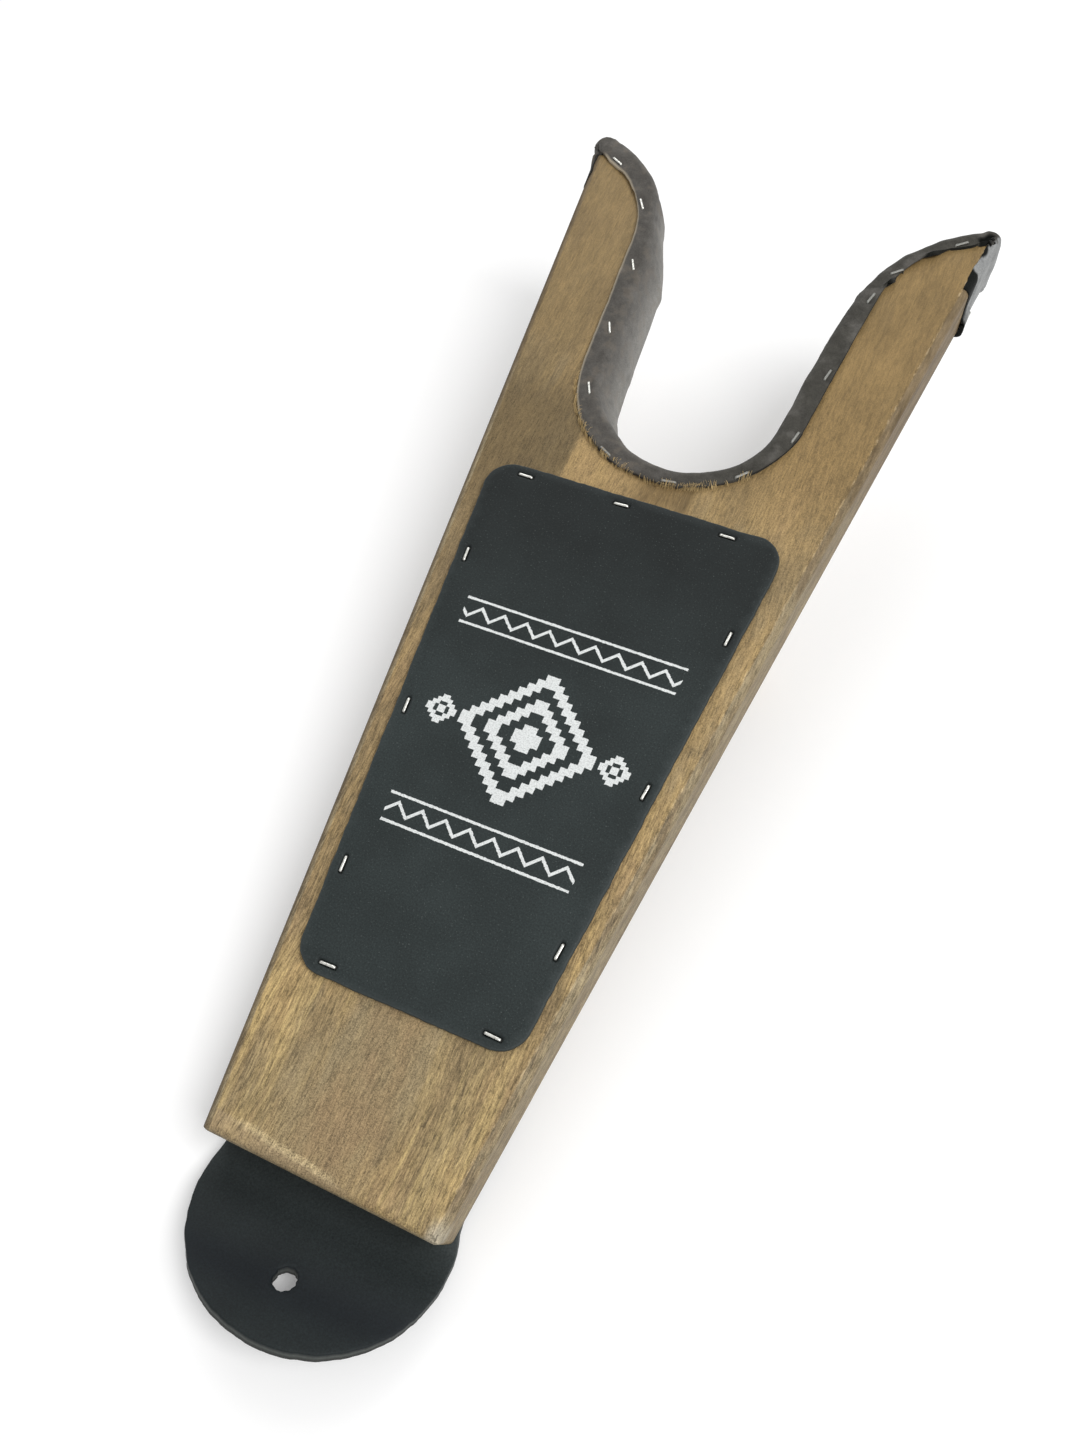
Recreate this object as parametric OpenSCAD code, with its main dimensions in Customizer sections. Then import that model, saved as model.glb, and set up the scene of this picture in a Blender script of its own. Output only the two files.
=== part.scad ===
// Wooden boot jack: a tapered board with a suede-lined heel notch, a riser under it,
// a leather foot pad stapled on top and a leather hang tab at the tail.
// The board is drawn lying flat, tail end at y = 0 and underside at z = 0, then tilted.
// Origin: on the floor, at the middle of the whole jack. +Y points to the fork.

/* [Board] */
// Length from the tail end to the fork tips
board_len = 341; // [300:1:380]
// Width of the square tail end
tail_w = 65.5; // [58:0.5:76]
// Width across the fork tips
fork_w = 140; // [128:1:156]
// Thickness of the board
board_t = 19; // [15:0.5:25]
// Radius of the eased top edges
top_ease = 2.6; // [1:0.1:4]
// Radius of the eased bottom edges
bottom_ease = 1.2; // [0.5:0.1:3]
// Radius of the tail corners, seen from above
corner_r = 2; // [1:0.5:5]
// Radius of the blunted fork tips
tip_r = 1.6; // [1:0.1:2.5]

/* [Heel notch] */
// Depth of the notch, from the fork tips to its throat
notch_depth = 124; // [110:1:140]
// Radius of the round throat
throat_r = 31; // [26:0.5:34]
// Angle that each side of the notch opens by
notch_angle = 5.2; // [3:0.1:8]
// Length of the curved mouth, back from the fork tips
mouth_len = 49; // [40:1:60]

/* [Suede liner] */
// Thickness of the suede
suede_t = 1.6; // [1:0.1:2.5]
// Width of the border folded on the wood behind the throat
fold_throat = 3.4; // [3.2:0.1:7]
// Width of the border folded on the wood along the arms
fold_arm = 5.7; // [4.5:0.1:8]
// How far the folded border reaches back from each fork tip
fold_tip = 5.4; // [4:0.1:8]
// How much shorter the border's curved mouth is than the wood's
fold_mouth = 10; // [6:1:14]
// Length of the flap wrapped round the right tip
flap_right = 26; // [22:1:45]
// Length of the flap wrapped round the left tip
flap_left = 19; // [16:1:45]

/* [Foot pad] */
// Distance of the pad from the tail end
pad_start = 44.5; // [38:0.5:52]
// Bare wood between the pad and the liner's border at the throat
pad_gap = 8; // [3:0.5:30]
// Width of the pad's rear edge
pad_rear_w = 63; // [56:0.5:66]
// Width of the pad's front edge
pad_front_w = 94; // [84:0.5:98]
// Thickness of the pad leather
pad_t = 2; // [1.5:0.1:4]
// Radius of the pad's corners
pad_corner_r = 8.5; // [6:0.5:14]
// Turn of the pad on the board, as it was stapled by hand
pad_turn = 0.6; // [-1:0.1:1]

/* [Riser] */
// Angle of the board above the floor
pitch = 9; // [7:0.5:11]
// Distance from the notch's throat back to the middle of the riser
riser_gap = 28; // [24:1:50]
// Width of the riser across the board
riser_w = 88; // [70:1:92]
// Thickness of the riser along the board
riser_t = 19; // [15:0.5:25]

/* [Hang tab] */
// Thickness of the tab leather
tab_t = 3.2; // [2.5:0.1:4]
// Width of the tab
tab_w = 66; // [56:1:68]
// Offset of the tab to the right of the board's middle
tab_shift = 2; // [0:0.5:3]
// Length of the tab held under the board
tab_root_len = 32; // [24:1:45]
// Length of the tab behind the tail end
tab_reach = 40; // [38:1:48]
// Angle that the free tab leaves the floor by
tab_lift = 18; // [10:1:24]
// Radius that the free tab curls up by
tab_curl_r = 115; // [90:5:200]
// Radius of the hang hole
hang_r = 3.5; // [2.5:0.1:5]
// Distance of the hang hole from the tail end
hang_at = 24.5; // [20:0.5:28]

/* [Staples and screws] */
// Outer width of a staple
staple_w = 4.9; // [4:0.1:6]
// Width of the flat staple wire
wire_w = 0.95; // [0.6:0.05:1.3]
// Thickness of the flat staple wire
wire_t = 0.5; // [0.4:0.05:0.7]
// Length of a staple leg below the crown
leg_len = 8; // [6:0.5:9]
// Radius of the riser screws' shanks
screw_r = 2.1; // [1.7:0.1:2.6]
// Radius of the riser screws' countersunk heads
screw_head_r = 4.1; // [3.6:0.1:5]
// Length of the riser screws
screw_len = 38; // [32:1:44]
// Distance between the two riser screws
screw_gap = 56; // [40:1:64]

/* [Hidden] */
$fn = 96;

wood_col = "#8f7146";
suede_col = "#5b5853";
leather_col = "#2b3133";
steel_col = "#c9c9c4";

// Running gap between the fixed and the free leather of the hang tab
fold_gap = 0.3;
// Height of the free tab's rounded end above the floor
floor_gap = 0.25;
// Depth that a crown is pressed into the leather, and the slack of its pocket
press = 0.25;
slack = 0.15;
// Radial clearance round a riser screw
screw_fit = 0.05;
// Height of a screw's countersunk head, its point, and the cross recess in its head
head_h = 3;
screw_point = 6;
recess_l = 4.6;
recess_w = 1.1;
// Height of a flap's narrow end, and how far from that end its staple sits
flap_end_h = 6;
flap_hold = 6;
// Radius of the corners of the held leather
root_corner_r = 6;
// Overshoot of cutting solids
over = 10;

// Staples of the liner, set by hand and so not even: place along the border from the middle of the
// throat, as a share of the half border and positive to the right, and distance inside the border
left_staples = [[-0.29, 4], [-0.455, 4], [-0.63, 3.5], [-0.8, 1.5], [-0.94, 1.5]];
right_staples = [[0.32, 1], [0.485, 2], [0.7, 2], [0.785, 1], [0.935, 1]];
throat_staples = [[-0.115, 1], [0.035, 1], [0.18, 1]];
under_staples = [for (share = [-0.9:0.18:0.91]) [share, 2.5]];
// Distance of the pad's staples from its edge, and their places across the middle line
pad_inset = 3.2;
front_places = [-35, -4, 29];
rear_places = [-22.5, 24];
// Places of the pad's side staples, as shares of its length
side_shares = [0.177, 0.472, 0.786];
// Rows of the hang tab's staples: distance from the tail end, and places across the tab
tab_rows = [[tab_root_len - 7, [-24, 0, 24]], [12, [-13, 13]]];

// Slope of the board's sides, and the unit normal of the right side
side_a = atan((fork_w - tail_w) / 2 / board_len);
side_n = [cos(side_a), -sin(side_a)];
side_u = [sin(side_a), cos(side_a)];
function side_x(y) = tail_w / 2 + y * tan(side_a);

// Right half of a notch edge: throat arc, straight side, mouth arc that ends on the board's side.
// Returns [throat centre, throat radius, start and end of the straight, mouth centre, mouth radius].
notch_n = [cos(notch_angle), -sin(notch_angle)];
notch_d = [sin(notch_angle), cos(notch_angle)];
function notch_edge(bottom, r, mouth_y, end_y) =
  let (c1 = [0, bottom + r],
       p1 = c1 + r * notch_n,
       p2 = p1 + (mouth_y - p1[1]) / notch_d[1] * notch_d,
       k = [side_x(end_y), end_y] - p2,
       r2 = (k * k) / (2 * (k * notch_n)))
  [c1, r, p1, p2, p2 + r2 * notch_n, r2];

throat_y = board_len - notch_depth;
border_end = [side_x(board_len - fold_tip), board_len - fold_tip];
wood_edge = notch_edge(throat_y, throat_r, board_len - mouth_len, board_len);
border_edge = notch_edge(throat_y - fold_throat, throat_r + fold_arm,
                         board_len - mouth_len + fold_mouth, board_len - fold_tip);

// Centre of the blunted right tip, touching the mouth arc and the board's side from inside
tip_h = (tail_w / 2 * side_n[0]) - tip_r - wood_edge[4] * side_n;
tip_c = wood_edge[4] + tip_h * side_n + sqrt(pow(wood_edge[5] - tip_r, 2) - tip_h * tip_h) * side_u;
tip_dir = (tip_c - wood_edge[4]) / norm(tip_c - wood_edge[4]);

// Centre of a rounded corner on the right of a tapered outline, at distance y from its end
function corner_at(width, angle, r, y) = [width / 2 + (y * sin(angle) - r) / cos(angle), y];
corner_c = corner_at(tail_w, side_a, corner_r, corner_r);

// Length and taper of the foot pad, and place of the riser
pad_len = throat_y - fold_throat - pad_gap - pad_start;
riser_at = throat_y - riser_gap;
pad_a = atan((pad_front_w - pad_rear_w) / 2 / pad_len);
pad_n = [cos(pad_a), -sin(pad_a)];

// The board's underside at the tail stands on the leather of the tab
lift_z = tab_t * cos(pitch);
// Axis of the fold, seen from the tail's lower edge
fold_z = tab_t / 2 + floor_gap - lift_z;
fold_y = (-(tab_t / 2 + fold_gap) - fold_z * sin(pitch)) / cos(pitch);
// Straight start of the free tab, and the mean slope of what follows
tab_flat = 6;
tab_rise = tab_lift + (tab_reach - tab_flat) / 2 / tab_curl_r * 180 / PI;
tab_delta = tab_rise - tab_lift;
tab_tip = tab_reach + fold_y;
curl_c = [tab_flat * cos(tab_delta) + tab_curl_r * sin(tab_delta),
          tab_curl_r * cos(tab_delta) - tab_flat * sin(tab_delta)];
rim_h = curl_c[1] - sqrt(pow(tab_curl_r + tab_t / 2, 2) - pow(tab_tip - curl_c[0], 2));
hole_s = hang_at + fold_y;
hole_angle = tab_lift + asin((hole_s - curl_c[0]) / tab_curl_r) + tab_delta;
hole_h = curl_c[1] - sqrt(pow(tab_curl_r, 2) - pow(hole_s - curl_c[0], 2));

// Reach of the jack in front of and behind the tail's lower edge, and its middle
reach_front = (tip_c[1] + tip_r + suede_t) * cos(pitch) + suede_t * sin(pitch);
reach_rear = fold_y - tab_tip * cos(tab_rise) + rim_h * sin(tab_rise);
middle_y = (reach_front + reach_rear) / 2;

// Places that other parts meet: the fold's axis, the hang hole, the riser's foot and the tail's foot
fold_at = [tab_shift, fold_y - middle_y, fold_z + lift_z];
hole_at = [-hole_s * cos(tab_rise) + hole_h * sin(tab_rise), hole_s * sin(tab_rise) + hole_h * cos(tab_rise)];
echo(fold_axis = fold_at);
echo(hang_hole = [tab_shift, fold_at[1] + hole_at[0], fold_at[2] + hole_at[1]]);
echo(hang_axis = [0, sin(hole_angle), cos(hole_angle)]);
echo(riser_foot = [0, riser_at / cos(pitch) + lift_z * tan(pitch) - middle_y, 0]);

module tilted() {
  translate([0, -middle_y, lift_z]) rotate([pitch, 0, 0]) children();
}

module both_sides() {
  children();
  mirror([1, 0, 0]) children();
}

// Equal circles on the left and right of the middle line
module twin_circles(c, r) {
  for (side = [-1, 1]) translate([side * c[0], c[1]]) circle(r = r);
}

// The open side of a notch edge, drawn back from it by a margin
module notch_area(edge, margin) {
  p1 = edge[0] + (edge[1] - margin) * notch_n;
  p2 = edge[3] - margin * notch_n;
  c2 = edge[4];
  far = board_len + 3 * over;
  translate(edge[0]) circle(r = edge[1] - margin);
  difference() {
    polygon([p1, p2, c2, [c2[0], far], [-c2[0], far], [-c2[0], c2[1]], [-p2[0], p2[1]], [-p1[0], p1[1]]]);
    twin_circles(c2, edge[5] + margin);
  }
}

// Outline of the board from above, grown by a margin
module board_outline(margin = 0) {
  far = board_len + 2 * over;
  foot = corner_c + (corner_r + margin) * side_n;
  tip_r_out = tip_r + margin;
  on_mouth = tip_c + tip_r_out * tip_dir;
  on_side = tip_c + tip_r_out * side_n;
  beyond = tip_c + over * (tip_dir + side_n);
  difference() {
    polygon([[corner_c[0], -margin], foot, foot + far * side_u,
             [-foot[0] - far * side_u[0], foot[1] + far * side_u[1]],
             [-foot[0], foot[1]], [-corner_c[0], -margin]]);
    notch_area(wood_edge, margin);
    both_sides() polygon([tip_c, on_mouth, beyond, on_side]);
  }
  twin_circles(tip_c, tip_r_out);
  twin_circles(corner_c, corner_r + margin);
}

// Cutter that eases an edge lying along +Y, with the solid at x < 0 and z < 0
module ease_cutter(r, length) {
  translate([-r, -over, -r]) difference() {
    cube([r + over, length + 2 * over, r + over]);
    translate([0, -1, 0]) rotate([-90, 0, 0]) cylinder(r = r, h = length + 2 * over + 2);
  }
}

// Cutters along the board's two sides and its tail end
module ease_cutters(r) {
  both_sides() translate([tail_w / 2, 0, 0]) rotate([0, 0, -side_a]) ease_cutter(r, board_len);
  translate([-tail_w / 2, 0, 0]) rotate([0, 0, -90]) ease_cutter(r, tail_w);
}

// Two legs of a staple, below its crown
module staple_legs() {
  for (side = [-1, 1])
    translate([side * (staple_w - wire_t) / 2 - wire_t / 2, -wire_w / 2, -leg_len])
      cube([wire_t, wire_w, leg_len]);
}

// One staple: crown along X, its underside at z = 0
module staple() {
  translate([-staple_w / 2, -wire_w / 2, 0]) cube([staple_w, wire_w, wire_t]);
  staple_legs();
}

// Space that a driven staple takes: slots of its legs, and the pocket pressed round its crown
module staple_slot() {
  translate([-staple_w / 2 - slack, -wire_w / 2 - slack, 0])
    cube([staple_w + 2 * slack, wire_w + 2 * slack, over]);
  staple_legs();
}

// Turn of the liner's border at a distance s to the right of the throat's middle, and the point
// there that lies a little inside the border
border_turn = 90 - notch_angle;
border_s1 = border_edge[1] * border_turn * PI / 180;
border_s2 = border_s1 + norm(border_edge[3] - border_edge[2]);
border_sweep = 2 * asin(norm(border_end - border_edge[3]) / 2 / border_edge[5]);
border_half = border_s2 + border_edge[5] * border_sweep * PI / 180;
function border_angle(s) =
  s < border_s1 ? s / border_edge[1] * 180 / PI :
  s < border_s2 ? border_turn :
  border_turn - (s - border_s2) / border_edge[5] * 180 / PI;
function border_point(s, inset) =
  let (a = border_angle(s), inward = [-sin(a), cos(a)])
  s < border_s1 ? border_edge[0] + (inset - border_edge[1]) * inward :
  s < border_s2 ? border_edge[2] + inset * inward + (s - border_s1) * notch_d :
  border_edge[4] + (border_edge[5] + inset) * inward;

module at_border(places) {
  for (p = places) {
    s = abs(p[0]) * border_half;
    mirror([p[0] < 0 ? 1 : 0, 0, 0])
      translate(border_point(s, p[1])) rotate([0, 0, border_angle(s)]) children();
  }
}

module at_border_top(places) {
  translate([0, 0, board_t + suede_t - press]) at_border(places) children();
}

module at_border_under() {
  mirror([0, 0, 1]) translate([0, 0, suede_t - press]) at_border(under_staples) children();
}

// A staple near the end of each flap on the board's outer sides
module at_flap(length) {
  y = board_len - length + flap_hold;
  translate([side_x(y), y, flap_end_h / 2]) rotate([0, 0, -side_a])
    translate([suede_t - press, 0, 0]) rotate([0, 90, 0]) rotate([0, 0, 90]) children();
}

module at_flaps() {
  at_flap(flap_right) children();
  mirror([1, 0, 0]) at_flap(flap_left) children();
}

// The pad's own frame: on the board's top, at the middle of the pad's rear edge before its turn
module on_pad() {
  translate([0, pad_start + pad_len / 2, board_t]) rotate([0, 0, pad_turn])
    translate([0, -pad_len / 2, 0]) children();
}

module at_pad(x, y, angle) {
  on_pad() translate([x, y, pad_t - press]) rotate([0, 0, angle]) children();
}

module at_pad_front() {
  for (x = front_places) at_pad(x, pad_len - pad_inset, 0) children();
}

module at_pad_rear() {
  for (x = rear_places) at_pad(x, pad_inset, 0) children();
}

module at_pad_side(side) {
  for (share = side_shares) {
    y = share * pad_len;
    at_pad(side * (pad_rear_w / 2 + y * tan(pad_a) - pad_inset / cos(pad_a)), y, 90 - side * pad_a) children();
  }
}

module at_tab() {
  for (row = tab_rows, x = row[1])
    translate([tab_shift + x, row[0], press - tab_t]) mirror([0, 0, 1]) children();
}

module at_screws() {
  for (side = [-1, 1]) translate([side * screw_gap / 2, riser_at, board_t]) children();
}

// A countersunk screw hanging from z = 0, grown by a margin
module screw_body(margin = 0) {
  translate([0, 0, -head_h]) cylinder(r1 = screw_r + margin, r2 = screw_head_r + margin, h = head_h);
  translate([0, 0, -screw_len + screw_point]) cylinder(r = screw_r + margin, h = screw_len - screw_point - head_h);
  translate([0, 0, -screw_len - margin])
    cylinder(r1 = screw_r / 4 + margin, r2 = screw_r + margin, h = screw_point + margin);
}

module board() {
  color(wood_col) tilted() difference() {
    linear_extrude(board_t) board_outline();
    translate([0, 0, board_t]) ease_cutters(top_ease);
    mirror([0, 0, 1]) ease_cutters(bottom_ease);
    at_border_top(concat(left_staples, throat_staples, right_staples)) staple_legs();
    at_border_under() staple_legs();
    at_flaps() staple_legs();
    at_pad_front() staple_legs();
    at_pad_rear() staple_legs();
    at_pad_side(-1) staple_legs();
    at_pad_side(1) staple_legs();
    at_tab() staple_legs();
    at_screws() screw_body(screw_fit);
  }
}

module riser() {
  height = lift_z + (riser_at + riser_t) * tan(pitch) + over;
  color(wood_col) difference() {
    tilted() translate([-riser_w / 2, riser_at - riser_t / 2, -height]) cube([riser_w, riser_t, height]);
    translate([-board_len / 2, -board_len, -2 * height]) cube([board_len, 2 * board_len, 2 * height]);
    tilted() at_screws() screw_body(screw_fit);
  }
}

module riser_screws() {
  color(steel_col) tilted() at_screws() difference() {
    screw_body();
    for (a = [0, 90])
      rotate([0, 0, a]) translate([-recess_l / 2, -recess_w / 2, -recess_w]) cube([recess_l, recess_w, over]);
  }
}

// Flat parts of the suede that lie on the board's top and underside
module liner_fold() {
  linear_extrude(suede_t) intersection() {
    board_outline(suede_t);
    notch_area(border_edge, 0);
  }
}

// Room of the flap on the right side of the board, seen from the side: it narrows to its end
module flap_room(length) {
  end = board_len - length;
  rotate([90, 0, 90]) translate([0, 0, side_x(end) - suede_t]) linear_extrude(4 * over)
    polygon([[end, -suede_t], [end, flap_end_h], [board_len - fold_tip, board_t],
             [board_len + over, board_t], [board_len + over, -suede_t]]);
}

module notch_liner() {
  color(suede_col) tilted() difference() {
    union() {
      translate([0, 0, board_t]) liner_fold();
      translate([0, 0, -suede_t]) liner_fold();
      intersection() {
        translate([0, 0, -suede_t]) linear_extrude(board_t + 2 * suede_t) difference() {
          board_outline(suede_t);
          board_outline();
        }
        union() {
          translate([0, 0, -over]) linear_extrude(board_t + 2 * over) notch_area(border_edge, 0);
          flap_room(flap_right);
          mirror([1, 0, 0]) flap_room(flap_left);
        }
      }
    }
    at_border_top(concat(left_staples, throat_staples, right_staples)) staple_slot();
    at_border_under() staple_slot();
    at_flaps() staple_slot();
  }
}

module liner_staples_left() {
  color(steel_col) tilted() at_border_top(left_staples) staple();
}

module liner_staples_right() {
  color(steel_col) tilted() at_border_top(right_staples) staple();
}

module liner_staples_throat() {
  color(steel_col) tilted() at_border_top(throat_staples) staple();
}

module liner_staples_under() {
  color(steel_col) tilted() at_border_under() staple();
}

module flap_staples() {
  color(steel_col) tilted() at_flaps() staple();
}

module pad_outline() {
  rear = corner_at(pad_rear_w, pad_a, pad_corner_r, pad_corner_r);
  front = corner_at(pad_rear_w, pad_a, pad_corner_r, pad_len - pad_corner_r);
  right = [[rear[0], 0], rear + pad_corner_r * pad_n, front + pad_corner_r * pad_n, [front[0], pad_len]];
  polygon(concat(right, [for (i = [3:-1:0]) [-right[i][0], right[i][1]]]));
  twin_circles(rear, pad_corner_r);
  twin_circles(front, pad_corner_r);
}

module foot_pad() {
  color(leather_col) tilted() difference() {
    on_pad() linear_extrude(pad_t) pad_outline();
    at_pad_front() staple_slot();
    at_pad_rear() staple_slot();
    at_pad_side(-1) staple_slot();
    at_pad_side(1) staple_slot();
  }
}

module pad_staples_front() {
  color(steel_col) tilted() at_pad_front() staple();
}

module pad_staples_rear() {
  color(steel_col) tilted() at_pad_rear() staple();
}

module pad_staples_left() {
  color(steel_col) tilted() at_pad_side(-1) staple();
}

module pad_staples_right() {
  color(steel_col) tilted() at_pad_side(1) staple();
}

// Held part of the hang tab, flat under the board
module tab_root() {
  inner = tab_root_len - root_corner_r;
  color(leather_col) tilted() difference() {
    translate([tab_shift, 0, -tab_t]) linear_extrude(tab_t) {
      translate([-tab_w / 2, 0]) square([tab_w, inner]);
      translate([root_corner_r - tab_w / 2, 0]) square([tab_w - 2 * root_corner_r, tab_root_len]);
      twin_circles([tab_w / 2 - root_corner_r, inner], root_corner_r);
    }
    at_tab() staple_slot();
  }
}

// Side view of the free tab: rounded end at the fold, short flat, then a steady curl
module tab_profile() {
  sweep = tab_reach / tab_curl_r * 180 / PI;
  far = 2 * tab_curl_r;
  circle(r = tab_t / 2);
  rotate(-tab_lift) {
    translate([-tab_flat, -tab_t / 2]) square([tab_flat, tab_t]);
    translate([-tab_flat, tab_curl_r]) intersection() {
      difference() {
        circle(r = tab_curl_r + tab_t / 2, $fn = 720);
        circle(r = tab_curl_r - tab_t / 2, $fn = 720);
      }
      polygon([[0, 0], [0, -far], [-far * sin(sweep), -far * cos(sweep)]]);
    }
  }
}

// Outline of the free tab as the leather was cut, with a half-round end
module tab_outline() {
  straight = tab_tip - tab_w / 2;
  translate([-tab_w / 2, -straight]) square([tab_w, straight + tab_t]);
  translate([0, -straight]) circle(r = tab_w / 2);
}

module tab_flap() {
  color(leather_col) translate(fold_at) difference() {
    intersection() {
      rotate([90, 0, 90]) linear_extrude(tab_w, center = true) tab_profile();
      rotate([-tab_rise, 0, 0]) linear_extrude(2 * tab_reach, center = true) tab_outline();
    }
    translate([0, hole_at[0], hole_at[1]]) rotate([-hole_angle, 0, 0])
      cylinder(r = hang_r, h = 3 * tab_t, center = true);
  }
}

module tab_staples() {
  color(steel_col) tilted() at_tab() staple();
}

board();
riser();
riser_screws();
notch_liner();
liner_staples_left();
liner_staples_right();
liner_staples_throat();
liner_staples_under();
flap_staples();
foot_pad();
pad_staples_front();
pad_staples_rear();
pad_staples_left();
pad_staples_right();
tab_root();
tab_flap();
tab_staples();
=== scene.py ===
# Looks of the boot jack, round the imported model. Shapes are worked out in the board's own frame,
# in millimetres (x across, y from the tail to the fork, z up from the underside), then tilted
# into the model's frame in metres.
import math
from collections import namedtuple

import bpy
import numpy as np
from mathutils import Matrix, Vector, noise
from mathutils.geometry import delaunay_2d_cdt


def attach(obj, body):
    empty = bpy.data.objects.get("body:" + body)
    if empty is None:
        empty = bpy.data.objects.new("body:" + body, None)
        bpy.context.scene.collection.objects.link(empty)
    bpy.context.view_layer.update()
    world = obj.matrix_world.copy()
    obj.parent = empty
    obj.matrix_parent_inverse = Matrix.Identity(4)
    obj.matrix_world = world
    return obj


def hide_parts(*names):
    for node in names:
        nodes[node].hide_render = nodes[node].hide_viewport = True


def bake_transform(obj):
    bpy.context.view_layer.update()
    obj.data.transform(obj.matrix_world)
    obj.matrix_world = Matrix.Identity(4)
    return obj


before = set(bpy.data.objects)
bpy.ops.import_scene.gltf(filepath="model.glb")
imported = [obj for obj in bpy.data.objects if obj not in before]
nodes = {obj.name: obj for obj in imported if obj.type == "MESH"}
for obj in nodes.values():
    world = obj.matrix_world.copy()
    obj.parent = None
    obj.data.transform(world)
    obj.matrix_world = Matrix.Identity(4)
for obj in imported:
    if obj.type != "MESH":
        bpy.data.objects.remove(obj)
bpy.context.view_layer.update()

# The board's slope, and the place of the tail's lower edge in the model's frame
PITCH = math.radians(9)
MIDDLE_Y, LIFT_Z = 150.178, 3.1606
BOARD_LEN, TAIL_W, FORK_W, BOARD_T = 341.0, 65.5, 140.0, 19.0
SIDE_A = math.atan((FORK_W - TAIL_W) / 2 / BOARD_LEN)
SUEDE_T, PAD_T, TAB_T = 1.6, 2.0, 3.2
PAD_TURN = math.radians(0.6)
COS_P, SIN_P = math.cos(PITCH), math.sin(PITCH)


def to_world(p):
    """Board frame in mm to the model's frame in metres."""
    p = np.asarray(p, float)
    y = p[..., 1] * COS_P - p[..., 2] * SIN_P - MIDDLE_Y
    z = p[..., 1] * SIN_P + p[..., 2] * COS_P + LIFT_Z
    return np.stack([p[..., 0], y, z], -1) / 1000


def to_board(p):
    """The model's frame in metres to the board frame in mm."""
    p = np.asarray(p, float) * 1000
    y, z = p[..., 1] + MIDDLE_Y, p[..., 2] - LIFT_Z
    return np.stack([p[..., 0], y * COS_P + z * SIN_P, z * COS_P - y * SIN_P], -1)


def wobble(x, y, z, size, seed=0.0):
    """Smooth noise from -1 to 1 with bumps of about that size in mm, the same in each run."""
    return noise.noise(Vector((x / size + seed, y / size + 1.7 * seed, z / size - seed)))


def smooth(a, b, v):
    t = np.clip((np.asarray(v, float) - a) / (b - a), 0, 1)
    return t * t * (3 - 2 * t)


def lengths(line):
    """How far along the line each of its points is."""
    return np.concatenate([[0], np.cumsum(np.linalg.norm(np.diff(line, axis=0), axis=1))])


# ---------------------------------------------------------------- materials

def rgb(r, g, b):
    """A colour as it shows on a screen, 0 to 255, as linear light."""
    out = []
    for c in (r, g, b):
        c /= 255
        out.append(c / 12.92 if c <= 0.04045 else ((c + 0.055) / 1.055) ** 2.4)
    return (*out, 1.0)


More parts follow.
